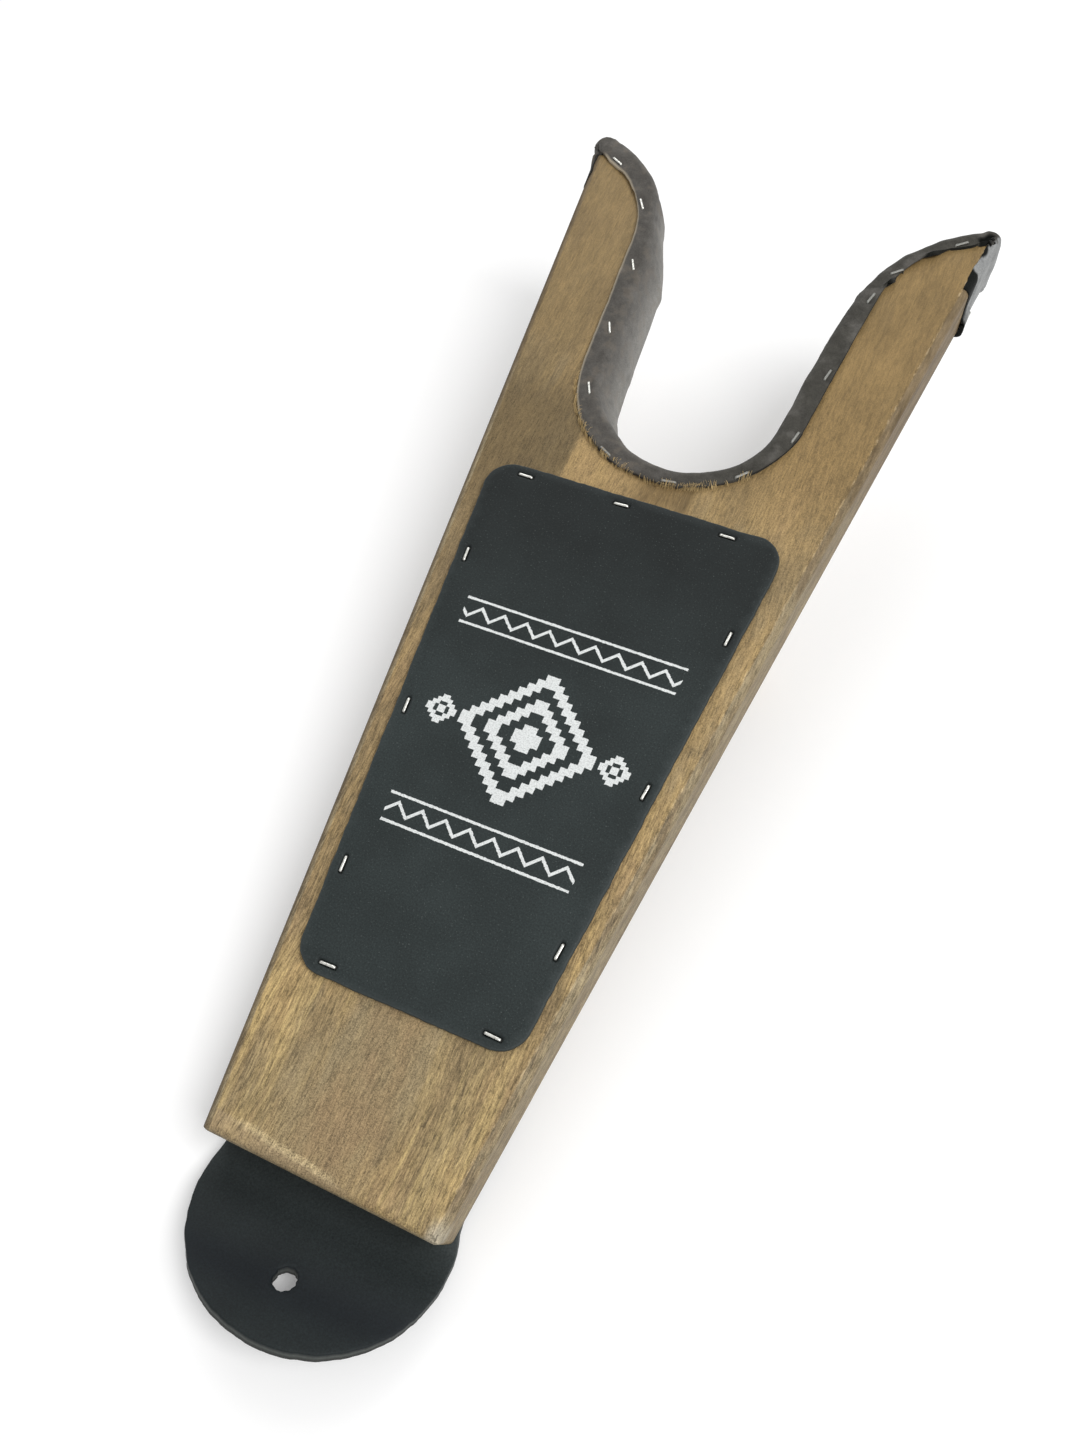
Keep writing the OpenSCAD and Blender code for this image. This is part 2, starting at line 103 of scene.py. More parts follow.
class Shader:
    """The nodes of a world, or of a material whose colour is put together layer by layer."""

    def __init__(self, name, kind="materials"):
        self.data = getattr(bpy.data, kind).new(name)
        self.data.use_nodes = True
        self.tree = self.data.node_tree
        self.tree.nodes.clear()

    def node(self, kind, *inputs, **props):
        n = self.tree.nodes.new(kind)
        for k, v in props.items():
            setattr(n, k, v)
        for value, socket in zip(inputs, n.inputs):
            self.put(value, socket)
        return n

    def put(self, value, socket):
        """Links a socket or sets a value; three values on a colour socket are a screen's."""
        if isinstance(value, bpy.types.NodeSocket):
            self.tree.links.new(value, socket)
        else:
            screen = socket.type == "RGBA" and len(value) == 3
            socket.default_value = rgb(*value) if screen else value

    def math(self, op, a, b=0.0):
        return self.node("ShaderNodeMath", a, b, operation=op).outputs[0]

    def abs(self, v):
        return self.math("ABSOLUTE", v)

    def most(self, a, b):
        return self.math("MAXIMUM", a, b)

    def add(self, *terms):
        total = terms[0]
        for t in terms[1:]:
            total = self.math("ADD", total, t)
        return total

    def mul(self, *terms):
        total = terms[0]
        for t in terms[1:]:
            total = self.math("MULTIPLY", total, t)
        return total

    def swing(self, v, *factors):
        """Noise from 0 to 1 as a swing round 0, times the factors."""
        return self.mul(self.add(v, -0.5), *factors)

    def step(self, v, a, b):
        """0 up to a and 1 from b, smooth between; falls where a is above b."""
        lo, hi, t0, t1 = (a, b, 0.0, 1.0) if a < b else (b, a, 1.0, 0.0)
        n = self.node("ShaderNodeMapRange", v, lo, hi, t0, t1, interpolation_type="SMOOTHSTEP")
        return n.outputs["Result"]

    def band(self, v, lo, hi, soft):
        return self.mul(self.step(v, lo - soft, lo + soft), self.step(v, hi + soft, hi - soft))

    def mix(self, fac, a, b):
        n = self.node("ShaderNodeMix", fac, data_type="RGBA")
        self.put(a, n.inputs[6])
        self.put(b, n.inputs[7])
        return n.outputs[2]

    def lay(self, colour, amount, *masks):
        """Lays a colour over the one so far by that amount, where all masks are 1. A mask of
        three values is a step of the first between the others."""
        masks = [self.step(*m) if isinstance(m, tuple) else m for m in masks]
        self.colour = self.mix(self.mul(*masks, amount), self.colour, colour)

    def dim(self, colour, factor):
        """The colour times a factor."""
        n = self.node("ShaderNodeVectorMath", colour, operation="SCALE")
        self.put(factor, n.inputs["Scale"])
        return n.outputs[0]

    def frame_mm(self):
        """The surface's own place in the board's frame in mm, kept as p and as x, y and z."""
        n = self.node("ShaderNodeMapping", self.node("ShaderNodeTexCoord").outputs["Object"])
        back = Matrix.Rotation(-PITCH, 3, "X")
        n.inputs["Location"].default_value = -(back @ Vector((0.0, -MIDDLE_Y, LIFT_Z)))
        n.inputs["Rotation"].default_value = (-PITCH, 0, 0)
        n.inputs["Scale"].default_value = (1000, 1000, 1000)
        self.p = n.outputs["Vector"]
        self.x, self.y, self.z = self.split(self.p)
        return self.p

    def split(self, v):
        return tuple(self.node("ShaderNodeSeparateXYZ", v).outputs)

    def join(self, x, y, z):
        return self.node("ShaderNodeCombineXYZ", x, y, z).outputs[0]

    def moved(self, v, offset):
        return self.node("ShaderNodeVectorMath", v, offset, operation="ADD").outputs[0]

    def noise(self, v, bumps, detail=3.0, rough=0.55, warp=0.0):
        """Noise from 0 to 1 with that many bumps to the mm, in all or one number for each axis."""
        if isinstance(bumps, tuple):
            v = self.node("ShaderNodeVectorMath", v, bumps, operation="MULTIPLY").outputs[0]
            bumps = 1.0
        n = self.node("ShaderNodeTexNoise", v)
        n.inputs["Scale"].default_value = bumps
        n.inputs["Detail"].default_value = detail
        n.inputs["Roughness"].default_value = rough
        n.inputs["Distortion"].default_value = warp
        return n.outputs["Fac"]

    def pebbles(self, v, bumps):
        n = self.node("ShaderNodeTexVoronoi", v, feature="SMOOTH_F1")
        n.inputs["Scale"].default_value = bumps
        return n.outputs["Distance"]

    def attribute(self, name):
        return self.node("ShaderNodeAttribute", attribute_name=name).outputs["Fac"]

    def bump(self, height, mm, strength):
        n = self.node("ShaderNodeBump")
        self.put(height, n.inputs["Height"])
        n.inputs["Distance"].default_value = mm / 1000
        n.inputs["Strength"].default_value = strength
        return n.outputs["Normal"]

    def seen(self):
        """1 on what the camera, a reflection or clear material shows, 0 on other light."""
        rays = self.node("ShaderNodeLightPath").outputs
        mirrored = self.most(rays["Is Camera Ray"], rays["Is Glossy Ray"])
        return self.most(mirrored, rays["Is Transmission Ray"])

    def set(self, **values):
        """The material, ended with a shader of these values."""
        bsdf = self.node("ShaderNodeBsdfPrincipled")
        for k, v in values.items():
            self.put(v, bsdf.inputs[k.replace("_", " ")])
        self.node("ShaderNodeOutputMaterial", bsdf.outputs[0])
        return self.data


def stain_arms(s, left, wave, patch, tint, grit):
    """The stains from the pad to the fork, at their places in mm."""
    x, y = s.x, s.y
    # Greyer at the foot of the left arm and beside the pad, and the arm's own brown
    s.lay((98, 83, 56), 0.85, (s.add(x, s.mul(wave, 0.35)), -25.5, -28.0),
          s.band(s.add(y, wave), 186.0, 244.0, 16.0))
    s.lay((118, 100, 72), 0.4, left, (y, 215.0, 190.0), (y, 45.0, 80.0))
    s.lay(s.mix(patch, (112, 94, 62), (138, 116, 78)), 0.75, left, (y, 236.0, 262.0))
    # Lighter strip behind the throat, and the dark smudge in it
    s.lay((160, 133, 88), 0.5, (x, -27.5, -25.5), (x, 16.0, 6.0), (y, 199.0, 205.0),
          (y, 236.0, 228.0))
    s.lay((92, 74, 46), 0.75, (s.add(x, s.mul(wave, 0.6)), -9.0, 3.0), (x, 15.0, 13.0),
          s.band(s.add(y, s.mul(wave, 0.3)), 206.0, 218.0, 3.0), (grit, 0.3, 0.55))
    # Golden right arm
    s.lay(s.mix(tint, (112, 91, 56), (142, 117, 74)), 0.8, (x, 4.0, 22.0), (y, 190.0, 240.0))


def stain_tail_and_highlight(s, wave, tint, streak, grit):
    """Golden streaks on both sides of a greyish middle, which is returned, and a greyer lip and
    painted highlight at the edge.
    """
    x, y = s.x, s.y
    tail = s.step(y, 62.0, 40.0)
    bent = s.add(x, s.swing(s.noise(s.p, (0.12, 0.03, 0.1), 2), 16.0), s.mul(y, -0.12))
    middle = s.mul(tail, s.band(bent, -20.0, 10.0, 6.0))
    s.lay(s.mix(s.step(tint, 0.36, 0.64), (146, 130, 99), (142, 121, 91)), 0.65, middle)
    s.lay((184, 162, 112), 0.36, tail, s.add(1.0, s.mul(middle, -1.0)), (streak, 0.4, 0.62))
    # A greyer lip at the very edge, and behind it a painted highlight: a pale line along the edge
    line_y = s.add(y, s.mul(s.add(x, 20.0), 0.1))
    s.lay(s.mix(tint, (138, 118, 92), (166, 148, 116)), 0.6, (line_y, 5.2, 4.4), (x, 14.0, 2.0))
    s.lay((204, 184, 142), 0.5, s.band(s.add(x, s.mul(wave, 0.5)), -24.0, 3.0, 4.0),
          (s.abs(s.add(line_y, s.mul(wave, 0.15), -4.9)), 1.4, 0.3), (grit, 0.3, 0.52))
    return middle


def stain_and_light_edges(s, left):
    """The eased edges and the sides are greyer and blotched. The right edge has a painted highlight
    between it and the top, broken by darker chips, the left edge has painted shade, and the tail's
    right corner has a painted highlight."""
    x, y = s.x, s.y
    half = s.add(TAIL_W / 2, s.mul(y, math.tan(SIDE_A)))
    inset = s.add(half, s.mul(s.abs(x), -1.0))
    chip = s.noise(s.p, (0.8, 0.2, 0.8), 4, 0.8)
    eased = s.add(inset, s.swing(chip, 0.9))
    blotch = s.step(s.noise(s.p, (0.16, 0.05, 0.3), 5, 0.7), 0.36, 0.62)
    stain = s.mix(s.step(y, 205.0, 255.0), s.mix(blotch, (116, 101, 78), (146, 133, 106)),
                  s.mix(blotch, (88, 73, 50), (122, 106, 82)))
    s.lay(stain, 0.85, s.most(s.step(eased, 2.5, 2.0), s.step(y, 0.9, 0.2)))
    # Painted highlight along the right edge, between it and the top, broken by darker chips
    line = s.mul(s.step(s.abs(s.add(eased, -2.5)), 0.45, 0.1), s.step(s.math("SIGN", x), -0.5, 0.5))
    s.lay((186, 166, 132), 0.6, line, (chip, 0.5, 0.62))
    s.lay((88, 72, 48), 0.65, line, (chip, 0.5, 0.4))
    # Painted shade along the left edge
    s.lay((70, 55, 36), 0.7, (inset, 2.0, 0.6), left)
    # Painted highlight on the tail's right corner
    s.lay((182, 174, 156), 0.55, (inset, 5.0, 3.0), (x, 24.0, 29.0), (y, 7.0, 2.0),
          (s.z, 11.0, 17.0))


def wood_material(name, stained_and_lit=True):
    """The board's wood with its stains and painted light, or the riser's, plain and with its grain
    across.
    """
    s = Shader(name)
    p = s.frame_mm()
    if not stained_and_lit:
        p = s.join(s.y, s.x, s.z)
    px, py, pz = s.split(p)
    drift = s.swing(s.noise(p, (0.03, 0.012, 0.03), 2), 7.0)
    grain = s.join(s.add(px, drift), py, pz)
    patch = s.noise(grain, (0.06, 0.022, 0.06), 4, 0.6)
    tint = s.noise(s.moved(grain, (40, 90, 10)), (0.09, 0.03, 0.09), 3, 0.6)
    streak = s.noise(grain, (0.42, 0.02, 0.4), 5, 0.65)
    fine = s.noise(grain, (1.5, 0.12, 1.5), 4, 0.7)
    ticks = s.noise(grain, (2.4, 0.3, 2.4), 2, 0.8)
    dashes = s.noise(s.moved(grain, (70, 30, 20)), (1.6, 0.2, 1.6), 2, 0.7)
    grit = s.noise(p, 2.6, 2, 0.9)
    cloudy = s.noise(grain, (0.16, 0.06, 0.16), 3, 0.6)

    s.colour = s.mix(s.step(patch, 0.36, 0.64), (134, 116, 84), (164, 139, 96))
    s.lay((146, 122, 92), 0.3, (tint, 0.5, 0.68))
    s.lay((146, 131, 102), 0.45, (tint, 0.46, 0.3))
    s.lay((178, 152, 100), 0.35, (streak, 0.5, 0.72))
    s.lay((112, 94, 66), 0.3, (streak, 0.48, 0.3))
    calm, speckle, clouds = 1.0, 1.0, 0.2
    if stained_and_lit:
        left = s.step(s.x, 2.0, -2.0)
        wave = s.swing(s.noise(p, (0.2, 0.05, 0.2), 4), 10.0)
        stain_arms(s, left, wave, patch, tint, grit)
        middle = stain_tail_and_highlight(s, wave, tint, streak, grit)
        stain_and_light_edges(s, left)
        # The arms are smoother than the tail, whose middle is speckled more than streaked
        arms = s.step(s.y, 225.0, 285.0)
        calm = s.add(1.0, s.mul(s.step(s.y, 60.0, 215.0), -0.45),
                     s.mul(s.step(s.y, 235.0, 285.0), -0.2), s.mul(middle, -0.45))
        speckle = s.add(0.75, s.mul(arms, -0.35), s.mul(middle, 0.35))
        clouds = s.add(0.2, s.mul(arms, 0.4))
    light = s.add(1.0, s.swing(ticks, calm, 2.3), s.swing(dashes, calm, 1.4),
                  s.swing(grit, speckle, 2.2), s.swing(fine, 0.5), s.swing(cloudy, clouds))
    pit = s.mul(s.step(s.noise(grain, (2.2, 0.9, 2.2), 1, 0.5), 0.62, 0.7),
                s.step(grit, 0.5, 0.58), calm)
    light = s.mul(s.most(light, 0.4), s.add(1.0, s.mul(pit, -0.3)))
    relief = s.add(s.mul(fine, 0.4), s.mul(ticks, 0.8), s.mul(grit, 0.5))
    return s.set(Base_Color=s.dim(s.colour, light), Roughness=s.add(0.5, s.mul(fine, 0.22)),
                 Specular_IOR_Level=0.25, Normal=s.bump(relief, 0.16, 0.6))


def fibre_material():
    s = Shader("wood_splinter")
    tone = s.noise(s.frame_mm(), 0.7, 2)
    return s.set(Base_Color=s.mix(tone, (168, 140, 92), (214, 190, 140)), Roughness=0.7)


def suede_material():
    s = Shader("suede_nap")
    p = s.frame_mm()
    nap = s.noise(p, 0.4, 4, 0.65, 0.6)
    hair = s.noise(p, 2.4, 4, 0.75)
    rubbed = s.noise(p, (0.12, 0.12, 0.2), 3, 0.6)
    blot = s.noise(s.moved(p, (30, 10, 50)), 0.17, 3, 0.6)
    left = s.step(s.x, 24.0, -6.0)
    s.colour = s.mix(nap, (52, 51, 47), (78, 76, 71))
    s.lay(s.mix(nap, (82, 79, 76), (106, 102, 98)), 0.5, left)
    s.lay((112, 109, 105), 0.4, (rubbed, 0.48, 0.7))
    # Painted light on the notch's wall, lighter towards its foot and most on the left
    wall = s.mul(s.attribute("wall"), s.add(0.3, s.mul(left, 0.65)))
    s.lay(s.mix(nap, (134, 132, 128), (172, 170, 165)), 1.0, wall)
    # Painted light on the outward faces of the right tip and flap
    s.lay(s.mix(nap, (136, 138, 139), (170, 171, 170)), 1.0, s.attribute("pale"))
    # Painted shade along the border's cut edge at the throat
    s.lay((48, 45, 40), 0.5, s.attribute("painted_edge_shade"))
    s.colour = s.dim(s.colour, s.add(1.0, s.swing(hair, 1.1), s.swing(blot, 0.9)))
    s.lay((112, 102, 90), 0.25, (blot, 0.5, 0.62), left)
    s.lay((190, 178, 156), 0.9, s.attribute("cut"))
    # Painted shadow, black, in the border's gaps and tucks, the right tip's pocket and at the
    # flaps' lips and cuts
    s.lay((16, 18, 16), 1.0, s.attribute("painted_shadow"))
    relief = s.add(s.mul(hair, 0.5), s.mul(nap, 0.8))
    return s.set(Base_Color=s.colour, Roughness=0.95, Specular_IOR_Level=0.1,
                 Sheen_Weight=0.08, Sheen_Roughness=0.5, Normal=s.bump(relief, 0.3, 0.7))


def leather_material(name, low, high, edge, printed=False):
    """Dark leather between two tones, with the colour of its cut edge. The pad's is printed and
    darker towards the fork; the tab's has painted shade on a bend and painted light where it leaves
    the tail."""
    s = Shader(name)
    p = s.frame_mm()
    pores = s.noise(p, 2.0, 3, 0.7)
    cloud = s.noise(p, 0.05, 3, 0.5)
    fuzz = s.noise(p, 1.3, 4, 0.7)
    s.colour = s.mix(s.step(s.add(s.mul(cloud, 0.8), s.mul(pores, 0.3)), 0.3, 0.8), low, high)
    if printed:
        s.lay(s.dim(s.colour, 0.46), 1.0, (s.y, 120.0, 205.0))
        s.lay((222, 225, 224), 1.0, pad_ornament(s, pores))
    else:
        # Painted shade on the tab's bend, and painted light where it leaves the tail
        s.lay((12, 17, 24), 0.6, s.attribute("shade"))
        s.lay((66, 72, 72), 0.8, s.attribute("painted_fold_light"))
    s.colour = s.dim(s.colour, s.add(1.0, s.swing(pores, 1.5)))
    if printed:
        dust = s.noise(p, 2.1, 2, 0.5)
        s.lay((96, 102, 100), 0.4, (dust, 0.62, 0.76))
    # Painted shade in the staples' slots
    s.lay((8, 10, 11), 0.9, s.attribute("slot_shade"))
    s.lay(edge, s.add(0.2, s.mul(fuzz, 0.6)), s.attribute("rim"))
    flesh = s.attribute("flesh")
    s.lay(s.mix(fuzz, (40, 42, 42), (78, 79, 76)), 1.0, flesh)
    rough = s.add(0.55, s.mul(pores, 0.16), s.mul(flesh, 0.3))
    relief = s.add(s.mul(s.pebbles(p, 0.95), 0.55), s.mul(pores, 0.35), s.mul(fuzz, flesh, 0.8))
    return s.set(Base_Color=s.colour, Roughness=rough, Specular_IOR_Level=0.2,
                 Normal=s.bump(relief, 0.14, 0.6))


def pad_ornament(s, pores):
    """A traditional band of stepped diamonds between lines, printed in white. It is laid out in
    mm from its own middle: u across the pad and v along it."""
    middle_y, middle_v = 125.0, 2.0
    big_step, side_u, side_step = 2.0, 25.8, 1.1
    band_v, tooth_v, line_gap, zigzag = 31.0, 32.7, 4.0, 3.5
    u_turned = s.mul(s.add(s.y, -middle_y), math.sin(PAD_TURN))
    v_turned = s.mul(s.add(s.y, -middle_y), math.cos(PAD_TURN))
    u = s.add(s.mul(s.x, math.cos(PAD_TURN)), u_turned)
    v = s.add(s.mul(s.x, -math.sin(PAD_TURN)), v_turned, middle_v)
    rough_edge = s.swing(s.noise(s.join(u, v, 0.0), 1.4, 2), 0.45)
    u, v = s.add(u, rough_edge), s.add(v, rough_edge)
    au, av = s.abs(u), s.abs(v)

    def steps(value, size):
        return s.mul(s.math("FLOOR", s.mul(value, 1.0 / size)), size)

    def below(value, limit):
        return s.math("LESS_THAN", value, limit)

    def ring(d, lo, hi):
        return s.mul(s.math("GREATER_THAN", d, lo), below(d, hi))

    # The big diamond has a core and two rings, the small ones on its sides a core and one ring
    big = s.add(steps(au, big_step), steps(av, big_step))
    small = s.add(steps(s.abs(s.add(au, -side_u)), side_step), steps(av, side_step))
    parts = [ring(big, 15.0, 19.0), ring(big, 7.0, 11.0), ring(big, -1.0, 3.0),
             ring(small, -1.0, 0.6), ring(small, 2.0, 4.0)]
    # Bands above and below: lines with a zigzag between them, as wide as the taper lets them
    inside_pad = below(au, s.add(30.5, s.mul(v, 0.09)))
    row_v = s.abs(s.add(av, -band_v))
    wave = s.math("PINGPONG", u, zigzag)
    tooth = s.mul(below(row_v, 2.6), below(s.abs(s.add(av, -tooth_v, wave)), 0.6))
    lines = s.most(ring(s.abs(s.add(row_v, -line_gap)), -1.0, 0.38), tooth)
    parts.append(s.mul(lines, inside_pad))
    ink = parts[0]
    for part in parts[1:]:
        ink = s.most(ink, part)
    return s.mul(ink, s.step(pores, 0.7, 0.62), 0.93)


def metal_material(name, colour, rough):
    s = Shader(name)
    p = s.frame_mm()
    tarnish = s.noise(p, 1.8, 4, 0.6)
    tint = s.mix(s.step(tarnish, 0.45, 0.75), colour, (140, 138, 132))
    return s.set(Base_Color=tint, Metallic=1.0, Roughness=s.add(rough, s.mul(tarnish, 0.2)),
                 Normal=s.bump(s.noise(p, 6.0, 2), 0.03, 0.4))


WOOD = wood_material("wood_board")
RISER = wood_material("wood_riser", stained_and_lit=False)
SPLINTER = fibre_material()
SUEDE = suede_material()
PAD = leather_material("leather_pad", (34, 40, 40), (44, 51, 51), (72, 78, 78), printed=True)
TAB = leather_material("leather_tab", (24, 29, 30), (32, 38, 39), (104, 107, 103))
STEEL = metal_material("staple_wire", (214, 214, 208), 0.26)
DULL = metal_material("staple_dull", (138, 138, 134), 0.5)
SCREW = metal_material("screw_steel", (190, 186, 170), 0.32)


def dress(obj, material):
    obj.data.materials.clear()
    obj.data.materials.append(material)


for name, material, slot in (("board", WOOD, "wood"), ("riser", RISER, "wood"),
                             ("riser_screws", SCREW, "steel")):
    dress(nodes[name], material)


# ---------------------------------------------------------------- meshes

def add_object(name, data):
    obj = bpy.data.objects.new(name, data)
    bpy.context.scene.collection.objects.link(obj)
    return obj


def make(name, points, faces, material, attributes=None, shade=40.0):
    """A mesh piece from points in the model's frame in metres."""
    mesh = bpy.data.meshes.new(name)
    mesh.from_pydata([tuple(map(float, p)) for p in points], [], faces)
    mesh.validate()
    for key, values in (attributes or {}).items():
        layer = mesh.attributes.new(key, "FLOAT", "POINT")
        layer.data.foreach_set("value", np.asarray(values, np.float32))
    for poly in mesh.polygons:
        poly.use_smooth = True
    mesh.set_sharp_from_angle(angle=math.radians(shade))
    obj = add_object(name, mesh)
    dress(obj, material)
    return obj


def islands(obj):
    """The separate solids of a CAD node, each as an array of its points in the board frame."""
    mesh = obj.data
    co = np.array([v.co for v in mesh.vertices], float)
    _, ids = np.unique(np.round(co * 1e6).astype(int), axis=0, return_inverse=True)
    ids = ids.reshape(-1)
    root = list(range(ids.max() + 1))

    def find(i):
        while root[i] != i:
            root[i] = root[root[i]]
            i = root[i]
        return i

    for a, b in (e.vertices for e in mesh.edges):
        root[find(ids[a])] = find(ids[b])
    groups = {}
    for i, v in enumerate(ids):
        groups.setdefault(find(v), []).append(i)
    return [to_board(co[g]) for g in groups.values()]


def staple_frames(node, up=None):
    """Middle of each crown's underside, the crown's direction and the outward direction."""
    found = []
    for pts in islands(nodes[node]):
        out = up
        if out is None:
            side = 1.0 if pts[:, 0].mean() > 0 else -1.0
            out = (side * math.cos(SIDE_A), -math.sin(SIDE_A), 0.0)
        out = np.array(out, float)
        level = pts @ out
        top = pts[level > level.max() - 0.05]
        mid = (top.min(0) + top.max(0)) / 2
        along = np.linalg.svd(top - mid, full_matrices=False)[2][0]
        found.append((mid - 0.5 * out, along, out))
    found.sort(key=lambda place: place[0][1])
    return found


def tube(base, rings, sides):
    """Faces of a closed tube whose points start at base, ring by ring."""
    last = base + (rings - 1) * sides
    quads = [(q + j, q + (j + 1) % sides, q + sides + (j + 1) % sides, q + sides + j)
             for q in range(base, last, sides) for j in range(sides)]
    return quads + [tuple(reversed(range(base, base + sides))), tuple(range(last, last + sides))]


STAPLE_W, WIRE_W, WIRE_T, LEG = 4.9, 0.8, 0.5, 8.0
SHOULDER_R, CROWN_DIP, CHAMFER = 0.55, 0.07, 0.16
UP, DOWN = (0.0, 0.0, 1.0), (0.0, 0.0, -1.0)


def staple_mesh(places, sink, seed, turns=()):
    """Bent flat wire: two legs, round shoulders and a crown that dips a little in its middle.
    Turns are how far each staple was driven askew, from the tail to the fork."""
    rng = np.random.default_rng(seed)
    half, bend = (STAPLE_W - WIRE_T) / 2, SHOULDER_R
    path = [(-half, -LEG), (-half, -LEG / 2), (-half, -bend + WIRE_T / 2)]
    for a in (22.5, 45, 67.5):
        r = math.radians(a)
        path.append((-half + bend * (1 - math.cos(r)), WIRE_T / 2 - bend * (1 - math.sin(r))))
    for t in np.linspace(-half + bend, half - bend, 7):
        path.append((t, WIRE_T / 2 - CROWN_DIP * (1 - (t / half) ** 2)))
    path += [(-a, b) for a, b in reversed(path[:6])]
    path = np.array(path)
    tangent = np.gradient(path, axis=0)
    tangent /= np.linalg.norm(tangent, axis=1)[:, None]
    normal = np.stack([-tangent[:, 1], tangent[:, 0]], 1)
    w, t, c = WIRE_W / 2, WIRE_T / 2, CHAMFER
    section = [(w - c, t), (w, t - c), (w, c - t), (w - c, -t),
               (c - w, -t), (-w, c - t), (-w, t - c), (c - w, t)]
    points, faces = [], []
    for i, (mid, along, out) in enumerate(places):
        across = np.cross(out, along)
        yaw, tilt = rng.normal(0, 0.03), rng.normal(0, 0.02)
        lift = rng.uniform(-0.04, 0.04)
        yaw += turns[i] if turns else 0.0
        along = along + yaw * across
        along /= np.linalg.norm(along)
        across = np.cross(out, along)
        base = len(points)
        for (a, h), n in zip(path, normal):
            for w, t in section:
                points.append(mid + (a + n[0] * t) * along + w * across
                              + (h + n[1] * t + lift + tilt * a - sink) * out)
        faces += tube(base, len(path), len(section))
    return to_world(points), [tuple(reversed(f)) for f in faces]


SUEDE_NODES = ("liner_staples_left", "liner_staples_right", "liner_staples_throat")
PAD_NODES = ("pad_staples_front", "pad_staples_rear", "pad_staples_left", "pad_staples_right")
ASKEW = {"liner_staples_left": (0.12, 0.36, 0.38, 0.14, 0.0),
         "liner_staples_right": (0.0, -0.1, -0.15, -0.45, 0.2)}
# The way the crowns of each node face (None: away from the board's side) and how far they sink in
DRIVEN = ([(n, UP, 0.1) for n in SUEDE_NODES]
          + [("liner_staples_under", DOWN, 0.1), ("flap_staples", None, 0.4)]
          + [(n, UP, 0.22) for n in PAD_NODES] + [("tab_staples", DOWN, 0.1)])
staples = {}
for i, (node, up, sink) in enumerate(DRIVEN):
    staples[node] = staple_frames(node, up)
    points, faces = staple_mesh(staples[node], sink, 11 + i, ASKEW.get(node, ()))
    metal = DULL if node in ("liner_staples_right", "liner_staples_throat") else STEEL
    piece = make("wire_" + node, points, faces, metal, shade=50.0)
    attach(piece, "jack")
    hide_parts(node)


def ring_offsets(loop, d):
    """A closed loop moved by d to its left, which is the material's side."""
    t = np.roll(loop, -1, 0) - np.roll(loop, 1, 0)
    t /= np.linalg.norm(t, axis=1)[:, None]
    return loop + d * np.stack([-t[:, 1], t[:, 0]], 1)


def inside(points, loop):
    x, y = points[:, 0], points[:, 1]
    hit = np.zeros(len(points), bool)
    for (x0, y0), (x1, y1) in zip(loop, np.roll(loop, -1, 0)):
        cross = (y0 > y) != (y1 > y)
        at = (x1 - x0) * (y - y0) / (y1 - y0 + 1e-12) + x0
        hit ^= cross & (x < at)
    return hit


def near_loops(points, loops):
    best = np.full(len(points), 1e9)
    for loop in loops:
        for p, q in zip(loop, np.roll(loop, -1, 0)):
            d = q - p
            t = np.clip(((points - p) @ d) / max(d @ d, 1e-12), 0, 1)
            best = np.minimum(best, np.linalg.norm(points - p - t[:, None] * d, axis=1))
    return best


